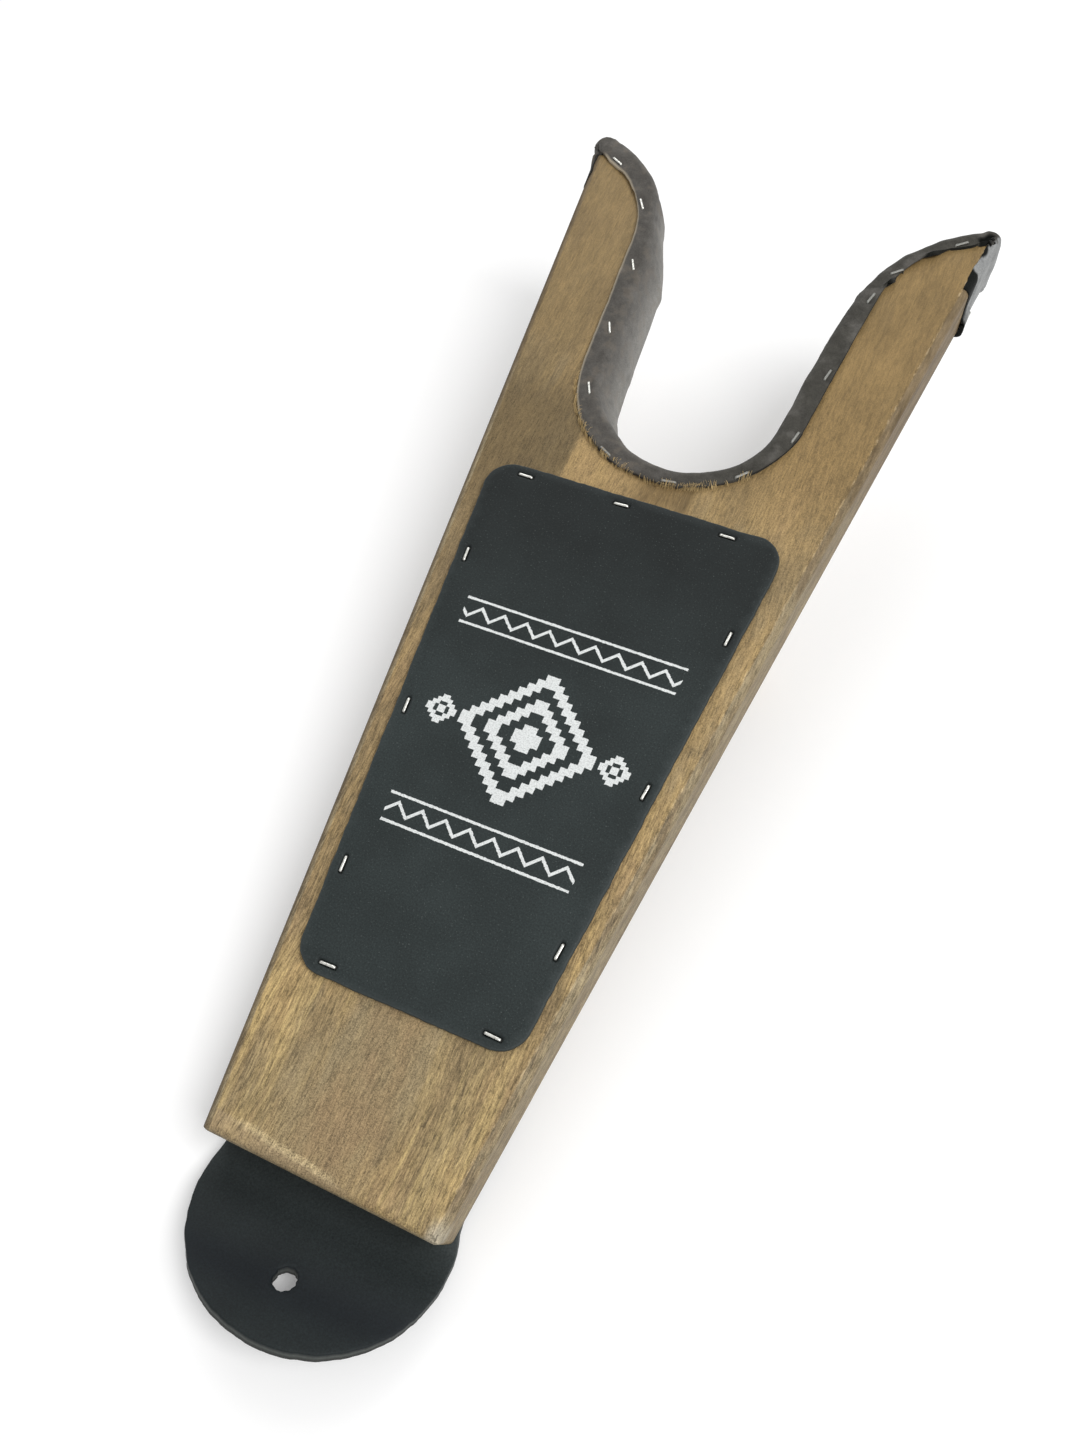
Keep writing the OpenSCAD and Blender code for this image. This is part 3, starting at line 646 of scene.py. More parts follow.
def plate(loops, thick, edge_r, spacing, extra, place):
    """A leather plate: loops are its outline (anticlockwise) and holes (clockwise) in mm, extra
    are more points for finer places, and place(x, y, t, d) gives a point at height t and distance
    d from the edge. Returns the points in mm, the faces, and each point's distance from the edge
    and side (0 top, 1 underneath)."""
    turns = [math.radians(a) for a in (0, 30, 60, 90)]
    rings = [[ring_offsets(loop, edge_r * (1 - math.cos(a))) for a in turns] for loop in loops]
    last = [r[-1] for r in rings]

    def on_leather(points):
        found = inside(points, last[0])
        for hole in last[1:]:
            found &= ~inside(points, hole)
        return found

    lo, hi = loops[0].min(0), loops[0].max(0)
    row_gap = spacing * 0.87
    grid = []
    for j in range(int((hi[1] - lo[1]) / row_gap) + 1):
        xs = np.arange(lo[0] + (j % 2) * spacing / 2, hi[0], spacing)
        grid.append(np.stack([xs, np.full(len(xs), lo[1] + j * row_gap)], 1))
    grid = np.concatenate(grid)
    far = np.array([np.min(np.linalg.norm(extra - g, axis=1)) > spacing * 0.5 for g in grid])
    grid = np.concatenate([grid[far], extra])
    grid = grid[on_leather(grid) & (near_loops(grid, last) > spacing * 0.3)]
    start, edges, flat = [], [], []
    for loop in last:
        start.append(len(flat))
        n = len(loop)
        edges += [(len(flat) + i, len(flat) + (i + 1) % n) for i in range(n)]
        flat += [tuple(p) for p in loop]
    flat += [tuple(p) for p in grid]
    out = delaunay_2d_cdt([Vector(p) for p in flat], edges, [], 0, 1e-7, True)
    verts = np.array([tuple(v) for v in out[0]])
    origin = {k: i for i, o in enumerate(out[3]) for k in o}
    good = on_leather(np.array([verts[list(f)].mean(0) for f in out[2]]))
    tris = []
    for f, ok in zip(out[2], good):
        if ok:
            a, b, c = verts[list(f[:3])]
            area = (b[0] - a[0]) * (c[1] - a[1]) - (b[1] - a[1]) * (c[0] - a[0])
            tris.append(tuple(f) if area > 0 else tuple(reversed(f)))
    dist = near_loops(verts, loops)
    points, faces, edge, low = [], [], [], []
    half = len(verts)
    for t, under in ((thick, 0.0), (0.0, 1.0)):
        for (px, py), d in zip(verts, dist):
            points.append(place(px, py, t, d))
            edge.append(d)
            low.append(under)
    faces += tris + [tuple(half + i for i in reversed(f)) for f in tris]
    for k, loop in enumerate(loops):
        n = len(loop)
        inner = [origin[start[k] + i] for i in range(n)]
        levels = [inner]
        eased = [(edge_r * (1 - math.sin(a)), r) for a, r in zip(turns[:-1], rings[k][:-1])]
        heights = [(thick - drop, r, 0.0) for drop, r in reversed(eased)]
        heights += [(thick / 2, loop, 0.5)] + [(drop, r, 1.0) for drop, r in eased]
        for t, r, under in heights:
            row = []
            for q in r:
                row.append(len(points))
                points.append(place(q[0], q[1], t, 0.0))
                edge.append(0.0)
                low.append(under)
            levels.append(row)
        levels.append([half + i for i in inner])
        for a, b in zip(levels, levels[1:]):
            faces += [(a[i - 1], b[i - 1], b[i], a[i]) for i in (*range(1, n), 0)]
    return np.array(points), faces, np.array(edge), np.array(low)


def arc(centre, r, a0, a1, n):
    a = np.radians(np.linspace(a0, a1, n))
    return np.stack([centre[0] + r * np.cos(a), centre[1] + r * np.sin(a)], 1)


def resample(loop, gap):
    closed = np.vstack([loop, loop[:1]])
    s = lengths(closed)
    at = np.linspace(0, s[-1], int(s[-1] / gap) + 1)[:-1]
    return np.stack([np.interp(at, s, closed[:, k]) for k in (0, 1)], 1)


def ragged(loop, amounts, seed):
    """A cut edge is never quite true: moves the loop by noise of some sizes and amounts in mm."""
    t = ring_offsets(loop, 1.0) - loop
    move = np.zeros(len(loop))
    for size, amount in amounts:
        move += amount * np.array([wobble(x, y, 0, size, seed + size) for x, y in loop])
    return loop + move[:, None] * t


# Foot pad: rounded leather with its staples pressed in
PAD_Y, PAD_L, PAD_W0, PAD_W1, PAD_R = 44.5, 161.1, 63.0, 94.0, 8.5
pad_a = math.atan((PAD_W1 - PAD_W0) / 2 / PAD_L)


def corner(y, sign):
    x = PAD_W0 / 2 + (y * math.sin(pad_a) - PAD_R) / math.cos(pad_a)
    return (sign * x, y)


deg = math.degrees(pad_a)
pad_loop = np.concatenate([
    arc(corner(PAD_R, -1), PAD_R, 180 + deg, 270, 14),
    arc(corner(PAD_R, 1), PAD_R, 270, 360 - deg, 14),
    arc(corner(PAD_L - PAD_R, 1), PAD_R, -deg, 90, 14),
    arc(corner(PAD_L - PAD_R, -1), PAD_R, 90, 180 + deg, 14)])
pad_loop = ragged(resample(pad_loop, 0.8), ((9.0, 0.22), (3.0, 0.14), (1.3, 0.1)), 3.0)
turn = np.array([[math.cos(PAD_TURN), math.sin(PAD_TURN)],
                 [-math.sin(PAD_TURN), math.cos(PAD_TURN)]])
pad_mid = np.array([0, PAD_Y + PAD_L / 2])
pad_loop = (pad_loop - [0, PAD_L / 2]) @ turn + pad_mid
pad_staples = [s for n in PAD_NODES for s in staples[n]]


def slot_depth(x, y, places, half_l, half_w, soft):
    """1 in the slot that a staple presses in, and 0 further from it than soft."""
    best = 0.0
    for mid, along, _ in places:
        dx, dy = x - mid[0], y - mid[1]
        a = abs(dx * along[0] + dy * along[1]) - half_l
        b = abs(dx * along[1] - dy * along[0]) - half_w
        d = math.hypot(max(a, 0), max(b, 0))
        best = max(best, 1 - min(d / soft, 1))
    return best * best * (3 - 2 * best)


def pad_place(x, y, t, d):
    """Sharp slots at the staples, a softer hollow round them, low waves and a worn edge."""
    z = t
    if t > PAD_T / 2:
        z -= 0.75 * slot_depth(x, y, pad_staples, 2.45, 0.4, 0.6)
        z -= 0.12 * slot_depth(x, y, pad_staples, 2.2, 0.5, 3.4)
        z += 0.07 * wobble(x, y, 0, 14.0, 5.0)
        z -= 0.12 * math.exp(-d / 2.5)
    return (x, y, BOARD_T + max(z, 0.02))


def dense(places, half_l, half_w, gap):
    """Points that are close together round staples."""
    out = []
    for (x, y, _), (ax, ay, _), _ in places:
        for a in np.arange(-half_l, half_l + 0.01, gap):
            for b in np.arange(-half_w, half_w + 0.01, gap):
                out.append((x + a * ax - b * ay, y + a * ay + b * ax))
    return np.array(out)


PAD_EDGE_R = 0.55
around = dense(pad_staples, 4.0, 2.4, 0.4)
points, faces, edge, low = plate([pad_loop], PAD_T, PAD_EDGE_R, 2.6, around, pad_place)
# Painted shade in the slots that the staples press in
slot_shade = [slot_depth(x, y, pad_staples, 2.5, 0.4, 0.5) if z > BOARD_T + 1 else 0
        for x, y, z in points]
rim = np.exp(-(edge / PAD_EDGE_R) ** 2) * (points[:, 2] > BOARD_T + 0.8)
pad = make("foot_pad_leather", to_world(points), faces, PAD,
           {"slot_shade": slot_shade, "rim": rim, "flesh": (low > 0.9).astype(float)})
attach(pad, "jack")
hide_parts("foot_pad")

# Hang tab: one strip, flat under the board, bent up at the tail end, with a half-round end. The
# board holds ROOT mm of it, and it reaches REACH mm from the fold, the first FLAT of them straight.
TAB_W, TAB_SHIFT, ROOT, REACH, FLAT, CURL_R = 67.0, 1.6, 32.0, 41.3, 6.0, 115.0
FOLD = np.array([-151.894, 1.85])
FOLD_GAP = 1.4
LIFT_A = math.radians(18)


def tab_line():
    """The strip's middle line seen from the side, in the model's frame in mm."""
    start = to_world((0, ROOT, -TAB_T / 2))[1:] * 1000
    tail = to_world((0, FOLD_GAP, -TAB_T / 2))[1:] * 1000
    line = [start + (tail - start) * k / 16 for k in range(17)]
    d_in = (tail - start) / np.linalg.norm(tail - start)
    d_out = np.array([-math.cos(LIFT_A), math.sin(LIFT_A)])
    leave = FOLD + FOLD_GAP * d_out
    pull = np.linalg.norm(leave - tail) * 0.4
    a, b = tail + d_in * pull, leave - d_out * pull
    for t in np.arange(1, 9) / 8:
        u = 1 - t
        line.append(u ** 3 * tail + 3 * u ** 2 * t * a + 3 * u * t * t * b + t ** 3 * leave)
    for e in np.arange(FOLD_GAP + 1.0, REACH + 0.01, 0.8):
        a = LIFT_A + max(e - FLAT, 0) / CURL_R
        curl = (math.sin(LIFT_A) - math.sin(a), math.cos(LIFT_A) - math.cos(a))
        line.append(FOLD + min(e, FLAT) * d_out + CURL_R * np.array(curl))
    return np.array(line)


LINE = tab_line()
LINE_S = lengths(LINE)
SLOPE = np.gradient(LINE, LINE_S, axis=0)
SLOPE /= np.linalg.norm(SLOPE, axis=1)[:, None]
# Distances along the strip: the fold, the end of the tip, and the hole with its place across
fold_s = float(np.interp(-FOLD[0], -LINE[:, 0], LINE_S))
tip_s = fold_s + REACH - 1.716
HOLE_X, hole_s = 1.2, fold_s + 23.5


def tab_place(x, s, t, d):
    """On the line, with the free part dished, puffed and raised round the hole."""
    c = np.array([np.interp(s, LINE_S, LINE[:, k]) for k in (0, 1)])
    g = np.array([np.interp(s, LINE_S, SLOPE[:, k]) for k in (0, 1)])
    n = np.array([-g[1], g[0]]) if g[0] > 0 else np.array([g[1], -g[0]])
    free = smooth(fold_s + 2, fold_s + 16, s)
    hollow = 0.5 * math.exp(-((s - hole_s + 1) / 6.0) ** 2)
    dish = free * (0.9 * ((x - TAB_SHIFT) / 33) ** 2 - hollow)
    puff = 0.16 * wobble(x, s, 0, 16.0, 9.0) * free
    h = t - TAB_T / 2 + dish + puff
    if t > TAB_T / 2:
        near = math.exp(-max(math.hypot(x - HOLE_X, s - hole_s) - 3.5, 0) / 1.3)
        h += 0.35 * near - 0.2 * math.exp(-d / 2.0) * free
    p = c + h * n
    return (x, p[0], p[1])


half_w, ROOT_R = TAB_W / 2, 6.0
end_s = tip_s - half_w
tab_loop = np.concatenate([
    np.array([[-half_w, end_s]]),
    arc((-half_w + ROOT_R, ROOT_R), ROOT_R, 180, 270, 9),
    arc((half_w - ROOT_R, ROOT_R), ROOT_R, 270, 360, 9),
    arc((0, end_s), half_w, 0, 180, 90)[:-1]])
tab_loop = ragged(resample(tab_loop, 0.8), ((14.0, 0.3), (4.0, 0.16), (1.4, 0.16)), 7.0)
# The held part is narrower on its right, where the board's taper would show it
right = tab_loop[:, 0] > 20
tab_loop[:, 0] -= 2.0 * right * smooth(fold_s + 2, fold_s - 8, tab_loop[:, 1])
tab_loop += [TAB_SHIFT, 0]
hole_loop = (arc((0, 0), 1.0, 360, 0, 61)[:-1] * [2.85, 3.2]) + [HOLE_X, hole_s]
hole_loop = ragged(hole_loop, ((2.0, 0.22), (0.7, 0.3)), 21.0)
around = np.concatenate([
    arc((HOLE_X, hole_s), r, 0, 360, int(r * 8) + 1)[:-1] for r in (4.5, 5.3, 6.3, 7.7)])
points, faces, edge, low = plate([tab_loop, hole_loop], TAB_T, 0.4, 2.0, around, tab_place)
rim = (np.abs(low - 0.5) < 0.3).astype(float)
# Painted shade and painted light go by the distance from the fold, on the free part
behind = np.hypot(points[:, 1] - FOLD[0], points[:, 2] - FOLD[1]) * (points[:, 1] < FOLD[0])
shade = np.exp(-((behind - 25.0 + 0.1 * (points[:, 0] - TAB_SHIFT)) / 6.5) ** 2)
painted_fold_light = 0.85 * np.exp(-np.maximum(behind, 0) / 6.0)
faces = [tuple(reversed(f)) for f in faces]
tab = make("hang_tab_leather", points / 1000, faces, TAB,
           {"shade": shade, "painted_fold_light": painted_fold_light, "rim": rim, "flesh": (low > 0.9).astype(float)})
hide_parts("tab_root", "tab_flap")
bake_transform(tab)

# Suede round the heel notch: one strip from the end of the left flap, round the throat, to the
# end of the right one. Each row of its mesh runs from the border's cut edge on the board's top
# down the wall to the cut edge under the board.
Edge = namedtuple("Edge", "throat r arm_start arm_end bow bow_r")
WOOD_EDGE = Edge(np.array([0, 248.0]), 31.0, np.array([30.8724, 245.19]),
                 np.array([35.1324, 292.0]), np.array([94.6023, 286.588]), 59.7157)
BORDER = Edge(np.array([0, 250.3]), 36.7, np.array([36.549, 246.974]),
              np.array([41.5567, 302.0]), np.array([79.9663, 298.504]), 38.5683)
BORDER_END = np.array([69.4101, 335.6])
TIP_C, TIP_R = np.array([68.0963, 338.307]), 1.6
TIP_DIR = np.array([-0.456091, 0.889933])
SIDE_N = np.array([math.cos(SIDE_A), -math.sin(SIDE_A)])
SIDE_U = np.array([math.sin(SIDE_A), math.cos(SIDE_A)])
OPEN = math.radians(5.2)
NOTCH_N = np.array([math.cos(OPEN), -math.sin(OPEN)])
# For the left side and the right one: how far the flap runs back from the fork's end, and how
# far the border stops short of the tip's corner
FLAPS, DRAW = {-1: 19.0, 1: 25.5}, {-1: 1.4, 1: 2.3}
LEFT_FLAP_END_Z = 6.0
# Rows of the throat, an arm, its bow and the corner of its tip, and the flap's spacing in mm
THROAT_ROWS, ARM_ROWS, BOW_ROWS, TIP_ROWS, FLAP_GAP = 57, 60, 76, 8, 0.7
# Points of a row: the border on top, each bend, the wall and the border under the board
TOP_N, BEND_N, WALL_N, UNDER_N = 13, 7, 14, 10
# How far the board's edges are eased, and how tightly the suede folds over the rim and on a flap
EASE, FOLD_R, FLAP_FOLD_R = 2.6, 2.6, 0.7
LOW_Z = -SUEDE_T
# Stands for any distance that is far from a cut edge
FAR = 9.0

# The tables below go by the place along the wood's edge, from the throat's middle, left negative.
# Pleats and slack places: place, width, height
PLEATS = ((-122, 2.2, 0.9), (-114, 3.0, -0.5), (104, 2.0, 0.9), (110, 3.0, -0.6), (125, 2.4, 0.6),
          (-96, 3.0, 0.5), (138, 2.2, 0.5), (-60, 5.0, 0.35), (64, 5.0, 0.3))
# Places where the border is tucked in: place, width
TUCKS = ((104, 2.2), (127.5, 3.6))
# How far the suede stands off the wood at its upper rim, and how much more it sags lower down
RIM = ((-172, -160, -156.5, -155, -154, -149, -144, -138, -132, -126, -120, -110, -60, -40, -30,
        -24, -18, -12, 0, 8, 18, 26, 48, 70, 84, 96, 104, 108, 120, 144, 152, 156, 160, 168, 172,
        175, 178),
       (0.1, -0.7, -0.9, 0.8, 2.5, 3.8, 4.2, 4.4, 4.7, 4.4, 2.2, 1.0, 0.8, 1.0, 2.2,
        2.9, 2.9, 2.0, 1.5, 0.8, 0.7, 0.2, 0.3, 0.6, 0.5, 0.1, 0.0, 0.8, 1.0, 0.9, 0.3, -0.5, -1.2,
        -1.2, -0.8, -0.4, 0.2))
SAG = ((-154, -150, -138, -126, -120, -114, -108, -96, -84, -60, -42, -36, -32, -24, -16, -8),
       (0.0, 0.6, 0.6, 0.7, 1.8, 2.5, 2.6, 3.1, 3.4, 3.6, 4.2, 4.0, 3.4, 2.0, 0.6, 0.0))
# The tables of the flaps go by the share of the way from the tip to the flap's end: height of the
# right flap's top edge over the board's top, how far each flap laps over the board's top, and how
# much of the right flap is pale with painted light below its lip of painted shadow
FLAP_TOP = ((0, 0.35, 0.6, 0.85, 1.0), (0.3, -2.0, -4.0, -9.0, -14.0))
LAP = {1: ((0, 0.3, 0.55, 0.8, 1.0), (2.3, 2.3, 2.4, 2.4, 2.3)),
       -1: ((0, 0.3, 0.55, 0.8, 1.0), (1.4, 1, 0.8, 0.6, 0.5))}
PALE_LIP = ((0, 0.14, 0.28, 0.4, 0.5, 0.62, 0.75, 0.88, 0.94, 1.0),
            (0.3, 0.8, 2.2, 9.0, 9.0, 3.4, 2.3, 1.4, 0.6, -1.0))
SUEDE_STAPLES = [p for n in SUEDE_NODES for p in staples[n]]


def along(table, at):
    return float(np.interp(at, *table))


def turn_from(vec, angle):
    c, s = math.cos(angle), math.sin(angle)
    return np.array([vec[0] * c + vec[1] * s, -vec[0] * s + vec[1] * c])


def angle_between(a, b):
    return math.acos(np.clip(np.dot(a, b) / np.linalg.norm(a) / np.linalg.norm(b), -1, 1))


def half_path(side):
    """Stations from the throat's middle to the end of a flap, all drawn on the right: place on
    the wood's edge, outward direction, place of the border's cut edge, and on the flap the share
    of the way from the tip to its end."""
    rows = []
    border_end = BORDER_END - DRAW[side] * SIDE_N
    for k in range(THROAT_ROWS):
        a = (math.pi / 2 - OPEN) * k / THROAT_ROWS
        d = np.array([math.sin(a), -math.cos(a)])
        rows.append((WOOD_EDGE.throat + WOOD_EDGE.r * d, -d, BORDER.throat + BORDER.r * d, None))
    for k in range(ARM_ROWS):
        w, b = (edge.arm_start + k / ARM_ROWS * (edge.arm_end - edge.arm_start)
                for edge in (WOOD_EDGE, BORDER))
        rows.append((w, -NOTCH_N, b, None))
    wood_turn = angle_between(-NOTCH_N, TIP_DIR)
    border_turn = angle_between(-NOTCH_N, (BORDER_END - BORDER.bow) / BORDER.bow_r)
    for k in range(BOW_ROWS):
        f = k / BOW_ROWS
        w, b = turn_from(-NOTCH_N, f * wood_turn), turn_from(-NOTCH_N, f * border_turn)
        back = smooth(0.85, 1, f) * (border_end - BORDER_END)
        rows.append((WOOD_EDGE.bow + WOOD_EDGE.bow_r * w, w,
                     BORDER.bow + BORDER.bow_r * b + back, None))
    for k in range(TIP_ROWS):
        w = turn_from(TIP_DIR, k / TIP_ROWS * angle_between(TIP_DIR, SIDE_N))
        rows.append((TIP_C + TIP_R * w, w, border_end, None))
    start = TIP_C + TIP_R * SIDE_N
    end_y = BOARD_LEN - FLAPS[side]
    length = (start[1] - end_y) / SIDE_U[1]
    n = int(length / FLAP_GAP)
    for k in range(n + 1):
        w = start - SIDE_U * length * k / n
        share = (BORDER_END[1] - w[1]) / (BORDER_END[1] - end_y)
        rows.append((w, SIDE_N, border_end, None) if share < 0 else (w, SIDE_N, w, share))
    return rows


class Row:
    """One row of the strip at a station of half_path, and what the suede does there."""

    def __init__(self, edge, out, border, share, side, at, tip):
        self.edge, self.out, self.border, self.share = edge, out, border, share
        self.side, self.at, self.flap = side, at, share is not None
        self.rim, self.sag = along(RIM, at), along(SAG, at)
        self.ruck = sum(h * math.exp(-((at - c) / q) ** 2) for c, q, h in PLEATS)
        self.tuck = sum(math.exp(-((at - c) / q) ** 2) for c, q in TUCKS)
        self.throat = math.exp(-((at + 8) / 17.0) ** 4)
        # The suede bends tighter round the corner of a tip and thins out there towards the flap.
        # Its rows fan in towards one place there and stop short of it.
        past = abs(at) - tip
        self.bend = FOLD_R * (1 - 0.5 * smooth(-3.0, -0.5, past) * smooth(5.0, 2.5, past))
        self.thin, self.fan = smooth(-1.0, 2.4, past), smooth(-9.0, -4.0, past)
        self.pocket = smooth(-6.0, -4.0, at - tip) if side > 0 else 0.0
        self.high = BOARD_T + SUEDE_T - 0.8 * self.thin
        if self.flap:
            fall = (LEFT_FLAP_END_Z - BOARD_T) * share
            self.high = BOARD_T + (along(FLAP_TOP, share) if side > 0 else fall)

    def over_top(self, inner):
        """The border, from its cut edge to the notch's rim."""
        at, reach = self.at, self.border - inner
        wave = 0.45 * wobble(at, 0, 3, 9.0, 2.0) + 0.22 * wobble(at, 5, 0, 3.0, 4.0)
        wave += self.throat * (0.5 * wobble(at, 1, 0, 1.7, 6.0)
                               + 0.25 * wobble(at, 1, 9, 0.9, 8.0))
        width = np.linalg.norm(reach)
        span = max(width + wave * (1 - self.fan) - 0.4 * self.fan - 0.8 * self.tuck, 0.3)
        self.span = span
        points = []
        for k in range(TOP_N):
            f = 1 - k / TOP_N
            q, cut = inner + reach / width * span * f, span * (1 - f)
            curl = 1.1 * self.tuck * math.exp(-cut / 1.5) - 0.3 * math.exp(-cut / 1.2)
            curl -= (1.2 * self.pocket * (1 - self.thin)
                     * smooth(0.0, 0.8, cut) * smooth(0.3, 1.4, span * f))
            points.append((*q, self.high + curl, 0.0, cut))
        return points

    def over_side(self):
        """The flap's lap, from its cut edge on the board's top over the eased edge down to the
        top of the wall. Its distances count from the wall."""
        lap = along(LAP[self.side], self.share)
        lap += 0.5 * wobble(self.at, 3, 7, 4.0, 1.0) + 0.3 * wobble(self.at, 8, 2, 1.6, 2.0)
        r, top = EASE + 0.3, self.high
        start = math.asin(max(EASE - lap, 0.0) / r)
        end = math.acos(min(max((EASE + min(top - BOARD_T, 0.0)) / r, 0.0), 1.0))
        end = max(end, start + 0.02)
        total = (end - start) * r + max(BOARD_T - EASE - top, 0.0)
        points = []
        for k in range(TOP_N):
            gone = total * k / TOP_N
            a = min(start + gone / r, end)
            drop = max(gone - (end - start) * r, 0.0)
            q = self.edge + self.out * (r * math.sin(a) - EASE)
            points.append((*q, BOARD_T - EASE + r * math.cos(a) - drop, 0.0, total - gone))
        return points

    def profile(self):
        """The row's points without their slack: x, y, z, how much each belongs to the wall, and
        its distance from the cut edge."""
        r = FLAP_FOLD_R if self.flap else self.bend
        inner = self.edge + self.out * (SUEDE_T + self.rim - r)
        points = self.over_side() if self.flap else self.over_top(inner)
        angles = [math.pi / 2 * k / (BEND_N - 1) for k in range(BEND_N)]
        for k, a in enumerate(angles):
            q = inner + self.out * r * math.sin(a)
            points.append((*q, self.high - r * (1 - math.cos(a)), k / (BEND_N - 1), FAR))
        top, low = self.high - r, LOW_Z + self.bend
        for k in range(1, WALL_N + 1):
            z = top + (low - top) * k / (WALL_N + 1)
            level = (z - LOW_Z) / (BOARD_T + 2 * SUEDE_T)
            bulge = 0.5 * math.sin(math.pi * min(1.0, 1 - level)) * (0.2 if self.flap else 1.0)
            q = inner + self.out * (r + bulge + self.sag * smooth(1.0, 0.3, level))
            points.append((*q, z, 1.0, FAR))
        base = self.edge + self.out * (SUEDE_T + self.rim + self.sag - self.bend)
        for a in angles:
            q = base + self.out * self.bend * math.cos(a)
            points.append((*q, low - self.bend * math.sin(a), 0.6, FAR))
        under = (self.border - base) * (1 - 0.25 * self.fan)
        if self.flap:
            under = -self.out * (2.0 + 3.0 * smooth(307, 335, self.edge[1]))
        for k in range(1, UNDER_N + 1):
            f = k / UNDER_N
            points.append((*(base + under * f), LOW_Z, 0.2, (1 - f) * np.linalg.norm(under)))
        return points

    def settled(self, i, point):
        """Point i of the profile with the suede's slack and pleats, pressed in at the staples."""
        x, y, z, wall, _ = point
        jog = 0.28 * wobble(x, y, z, 8.0, 1.0) + 0.12 * wobble(x, y, z, 2.6, 3.0)
        jog += self.ruck * (0.35 + 0.65 * wall)
        if i < TOP_N:
            press = slot_depth(x, y, SUEDE_STAPLES, 2.1, 0.3, 1.6)
            hollow = slot_depth(x, y, SUEDE_STAPLES, 2.0, 0.2, 4.5)
            return x, y, z + jog * (1 - press) * 0.8 - 0.3 * press - 0.12 * hollow
        if i >= TOP_N + BEND_N + WALL_N:
            return x, y, z - 0.1 * jog
        move = self.out * jog * wall
        return x + move[0], y + move[1], z + jog * (1 - wall) * 0.8

    def shadow(self, points):
        """How much painted shadow, in black, each point has: behind the tucks and gaps of the
        border, under the right flap's lip and at its end, in the pocket of the right tip, and at
        the left flap's cut."""
        at, cuts = self.at, [p[4] for p in points]
        if self.flap and self.side > 0:
            pale = along(PALE_LIP, self.share) + 0.4 * wobble(at, 4, 4, 1.5, 3.0)
            return [(i < TOP_N or self.share > 0.97) * smooth(pale - 0.5, pale + 0.3, cut)
                    for i, cut in enumerate(cuts)]
        if self.flap:
            return [0.9 * (i < TOP_N) * smooth(2.0, 1.0, cuts[0] - cut)
                    for i, cut in enumerate(cuts)]
        if self.pocket:
            return [self.pocket * (i < TOP_N) * smooth(0.2, 1.0, self.span - cut)
                    for i, cut in enumerate(cuts)]
        gap = smooth(20, 32, at) + smooth(-10, -14, at) * smooth(-32, -28, at)
        return [max(0.85 * gap * (i == 0), 0.9 * min(self.tuck, 1.0) * (i < 3))
                for i in range(len(points))]

    def paint(self, points):
        """The attributes of the row's points, which the suede's material reads."""
        count = range(len(points))
        light_cut = smooth(-22, -34, self.at) * smooth(-152, -146, self.at) * (self.side < 0)
        # Painted light on the outward faces of the right tip and flap
        pale = 0.85 * (self.side > 0) * smooth(0.6, 0.95, np.dot(self.out, SIDE_N))
        return {
            # Painted light on the wall, lighter towards its foot
            "wall": [p[3] * (0.25 + 0.75 * smooth(BOARD_T, 4.0, p[2])) for p in points],
            "cut": [light_cut * (1.0, 0.4, 0.0)[min(i, 2)] for i in count],
            # Painted shade along the cut edge at the throat
            "painted_edge_shade": [math.exp(-(p[4] / 1.2) ** 2) * self.throat for p in points],
            "pale": [pale * (i >= TOP_N or self.flap) for i in count],
            "painted_shadow": self.shadow(points)}


def liner():
    left, right = half_path(-1), half_path(1)
    flip = np.array([-1.0, 1.0])
    rows = [(w * flip, n * flip, b * flip, share, -1) for w, n, b, share in reversed(left[1:])]
    rows += [(*row, 1) for row in right]
    s = lengths([row[0] for row in rows])
    middle = len(left) - 1
    s -= s[middle]
    tip = s[middle + THROAT_ROWS + ARM_ROWS + BOW_ROWS]
    points, attributes = [], {}
    for station, at in zip(rows, s):
        row = Row(*station, at, tip)
        profile = row.profile()
        points += [row.settled(i, p) for i, p in enumerate(profile)]
        for key, values in row.paint(profile).items():
            attributes.setdefault(key, []).extend(values)
    k = len(profile)
    faces = [(q, q + k, q + k + 1, q + 1)
             for i in range(len(rows) - 1) for q in range(i * k, i * k + k - 1)]
    return np.array(points), faces, attributes


points, faces, attributes = liner()
suede = make("notch_suede", to_world(points), faces, SUEDE, attributes, shade=75.0)
thick = suede.modifiers.new("thickness", "SOLIDIFY")
thick.thickness = 0.0014
thick.offset = -1.0
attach(suede, "jack")
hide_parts("notch_liner")


TUFTS, SPLINTERS, SPLINTER_SEED = 48, 340, 23


def splinters(count, seed):
    """Wood torn up along the border at the throat: thin tapered splinters, in tufts, that lie
    over its cut edge."""
    rng = np.random.default_rng(seed)
    points, faces = [], []
    tufts = [(rng.uniform(-78, 52), rng.normal(0.05, 0.4), rng.uniform(0.7, 2.9))
             for _ in range(TUFTS)]
    for _ in range(count):
        turned, lean, length = tufts[int(rng.integers(len(tufts)))]
        a = math.radians(turned + rng.normal(0, 1.6))
        outward = np.array([math.sin(a), -math.cos(a)])
        root = BORDER.throat + (BORDER.r + rng.uniform(0.2, 0.9)) * outward
        lean += rng.normal(0, 0.16)
        run = np.array([math.sin(lean), math.cos(lean)]) * length * rng.uniform(0.5, 1.1)
        side = np.array([run[1], -run[0]]) / np.linalg.norm(run)
        width, rise = rng.uniform(0.05, 0.12), rng.uniform(1.5, 2.3)
        base = len(points)
        for t in (0.0, 0.35, 0.7, 1.0):
            q = root + run * t
            z = BOARD_T - 0.1 + rise * math.sin(t * 2.2)
            w = width * (1 - 0.75 * t)
            points += [(*(q - w * side), z), (*(q + w * side), z), (q[0], q[1], z + w)]
        faces += tube(base, 4, 3)
    return to_world(points), faces


points, faces = splinters(SPLINTERS, SPLINTER_SEED)
torn = make("torn_wood", points, faces, SPLINTER)
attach(torn, "jack")

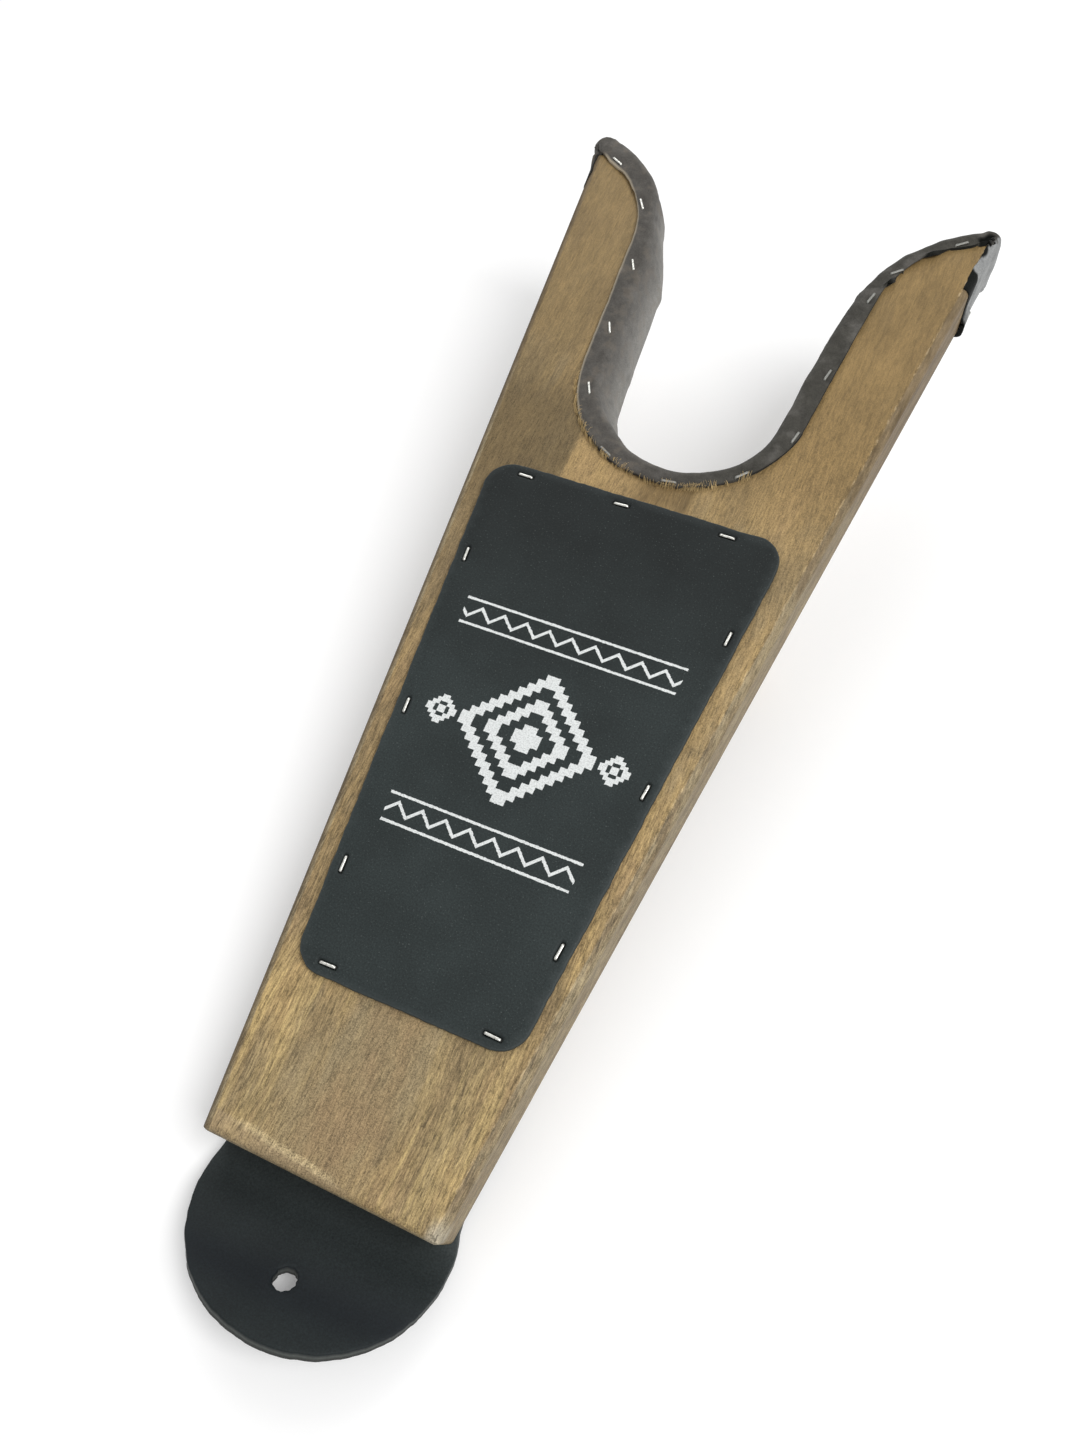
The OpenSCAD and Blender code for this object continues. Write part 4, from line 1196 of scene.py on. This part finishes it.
# ---------------------------------------------------------------- floor, light and camera

FLOOR, FLOOR_TONE, FLOOR_GLOW = 6, 0.86, 0.16
SKY_LIGHT, SKY_SEEN = 0.62, 1.0


def floor_material():
    s = Shader("floor_pale")
    return s.set(Base_Color=(FLOOR_TONE, FLOOR_TONE, FLOOR_TONE, 1.0), Roughness=1.0,
                 Specular_IOR_Level=0.0, Emission_Color=(1, 1, 1, 1),
                 Emission_Strength=s.mul(s.seen(), FLOOR_GLOW))


def sky(strength):
    n = world.node("ShaderNodeBackground")
    n.inputs["Strength"].default_value = strength
    return n.outputs[0]


floor_mesh = bpy.data.meshes.new("floor")
corners = [(FLOOR * x, FLOOR * y, 0) for x, y in ((-1, -1), (1, -1), (1, 1), (-1, 1))]
floor_mesh.from_pydata(corners, [], [(0, 1, 2, 3)])
floor_mesh.materials.append(floor_material())
floor = add_object("floor", floor_mesh)

world = Shader("studio", "worlds")
pick = world.node("ShaderNodeMixShader", world.seen(), sky(SKY_LIGHT), sky(SKY_SEEN))
world.node("ShaderNodeOutputWorld", pick.outputs[0])
bpy.context.scene.world = world.data


def lamp(name, place, target, size, power):
    light = bpy.data.lights.new(name, "AREA")
    light.shape = "SQUARE"
    light.size = size
    light.energy = power
    obj = add_object(name, light)
    obj.location = place
    obj.rotation_euler = (Vector(target) - Vector(place)).to_track_quat("-Z", "Y").to_euler()


lamp("key", (0.75, -0.15, 1.25), (0, 0, 0.03), 0.7, 13.0)
lamp("fill", (-0.5, 0.9, 1.1), (0, 0, 0.03), 0.9, 5.0)

# Camera: fitted to the photograph's outline, pad and staples, in the board frame. The lens comes
# from its focal length in pixels, on a frame that is as high as the photograph.
EYE = (78.61, 23.21, 308.12)
RIGHT, AHEAD = (0.90942, 0.40487, -0.095), (-0.24493, 0.33686, -0.90914)
FOCAL_PX, PHOTO_H, SENSOR = 1155.7, 1440, 36


def direction(v):
    return Vector((v[0], v[1] * COS_P - v[2] * SIN_P, v[1] * SIN_P + v[2] * COS_P)).normalized()


data = bpy.data.cameras.new("camera")
data.sensor_width = SENSOR
data.lens = FOCAL_PX / PHOTO_H * SENSOR
data.clip_start, data.clip_end = 0.01, 20
camera = add_object("camera", data)
ahead = direction(AHEAD)
right = direction(RIGHT)
up = right.cross(ahead).normalized()
right = ahead.cross(up).normalized()
axes = Matrix((right, up, -ahead)).transposed().to_4x4()
camera.matrix_world = Matrix.Translation(Vector(to_world(EYE))) @ axes
bpy.context.scene.camera = camera
bpy.context.scene.view_settings.view_transform = "Standard"
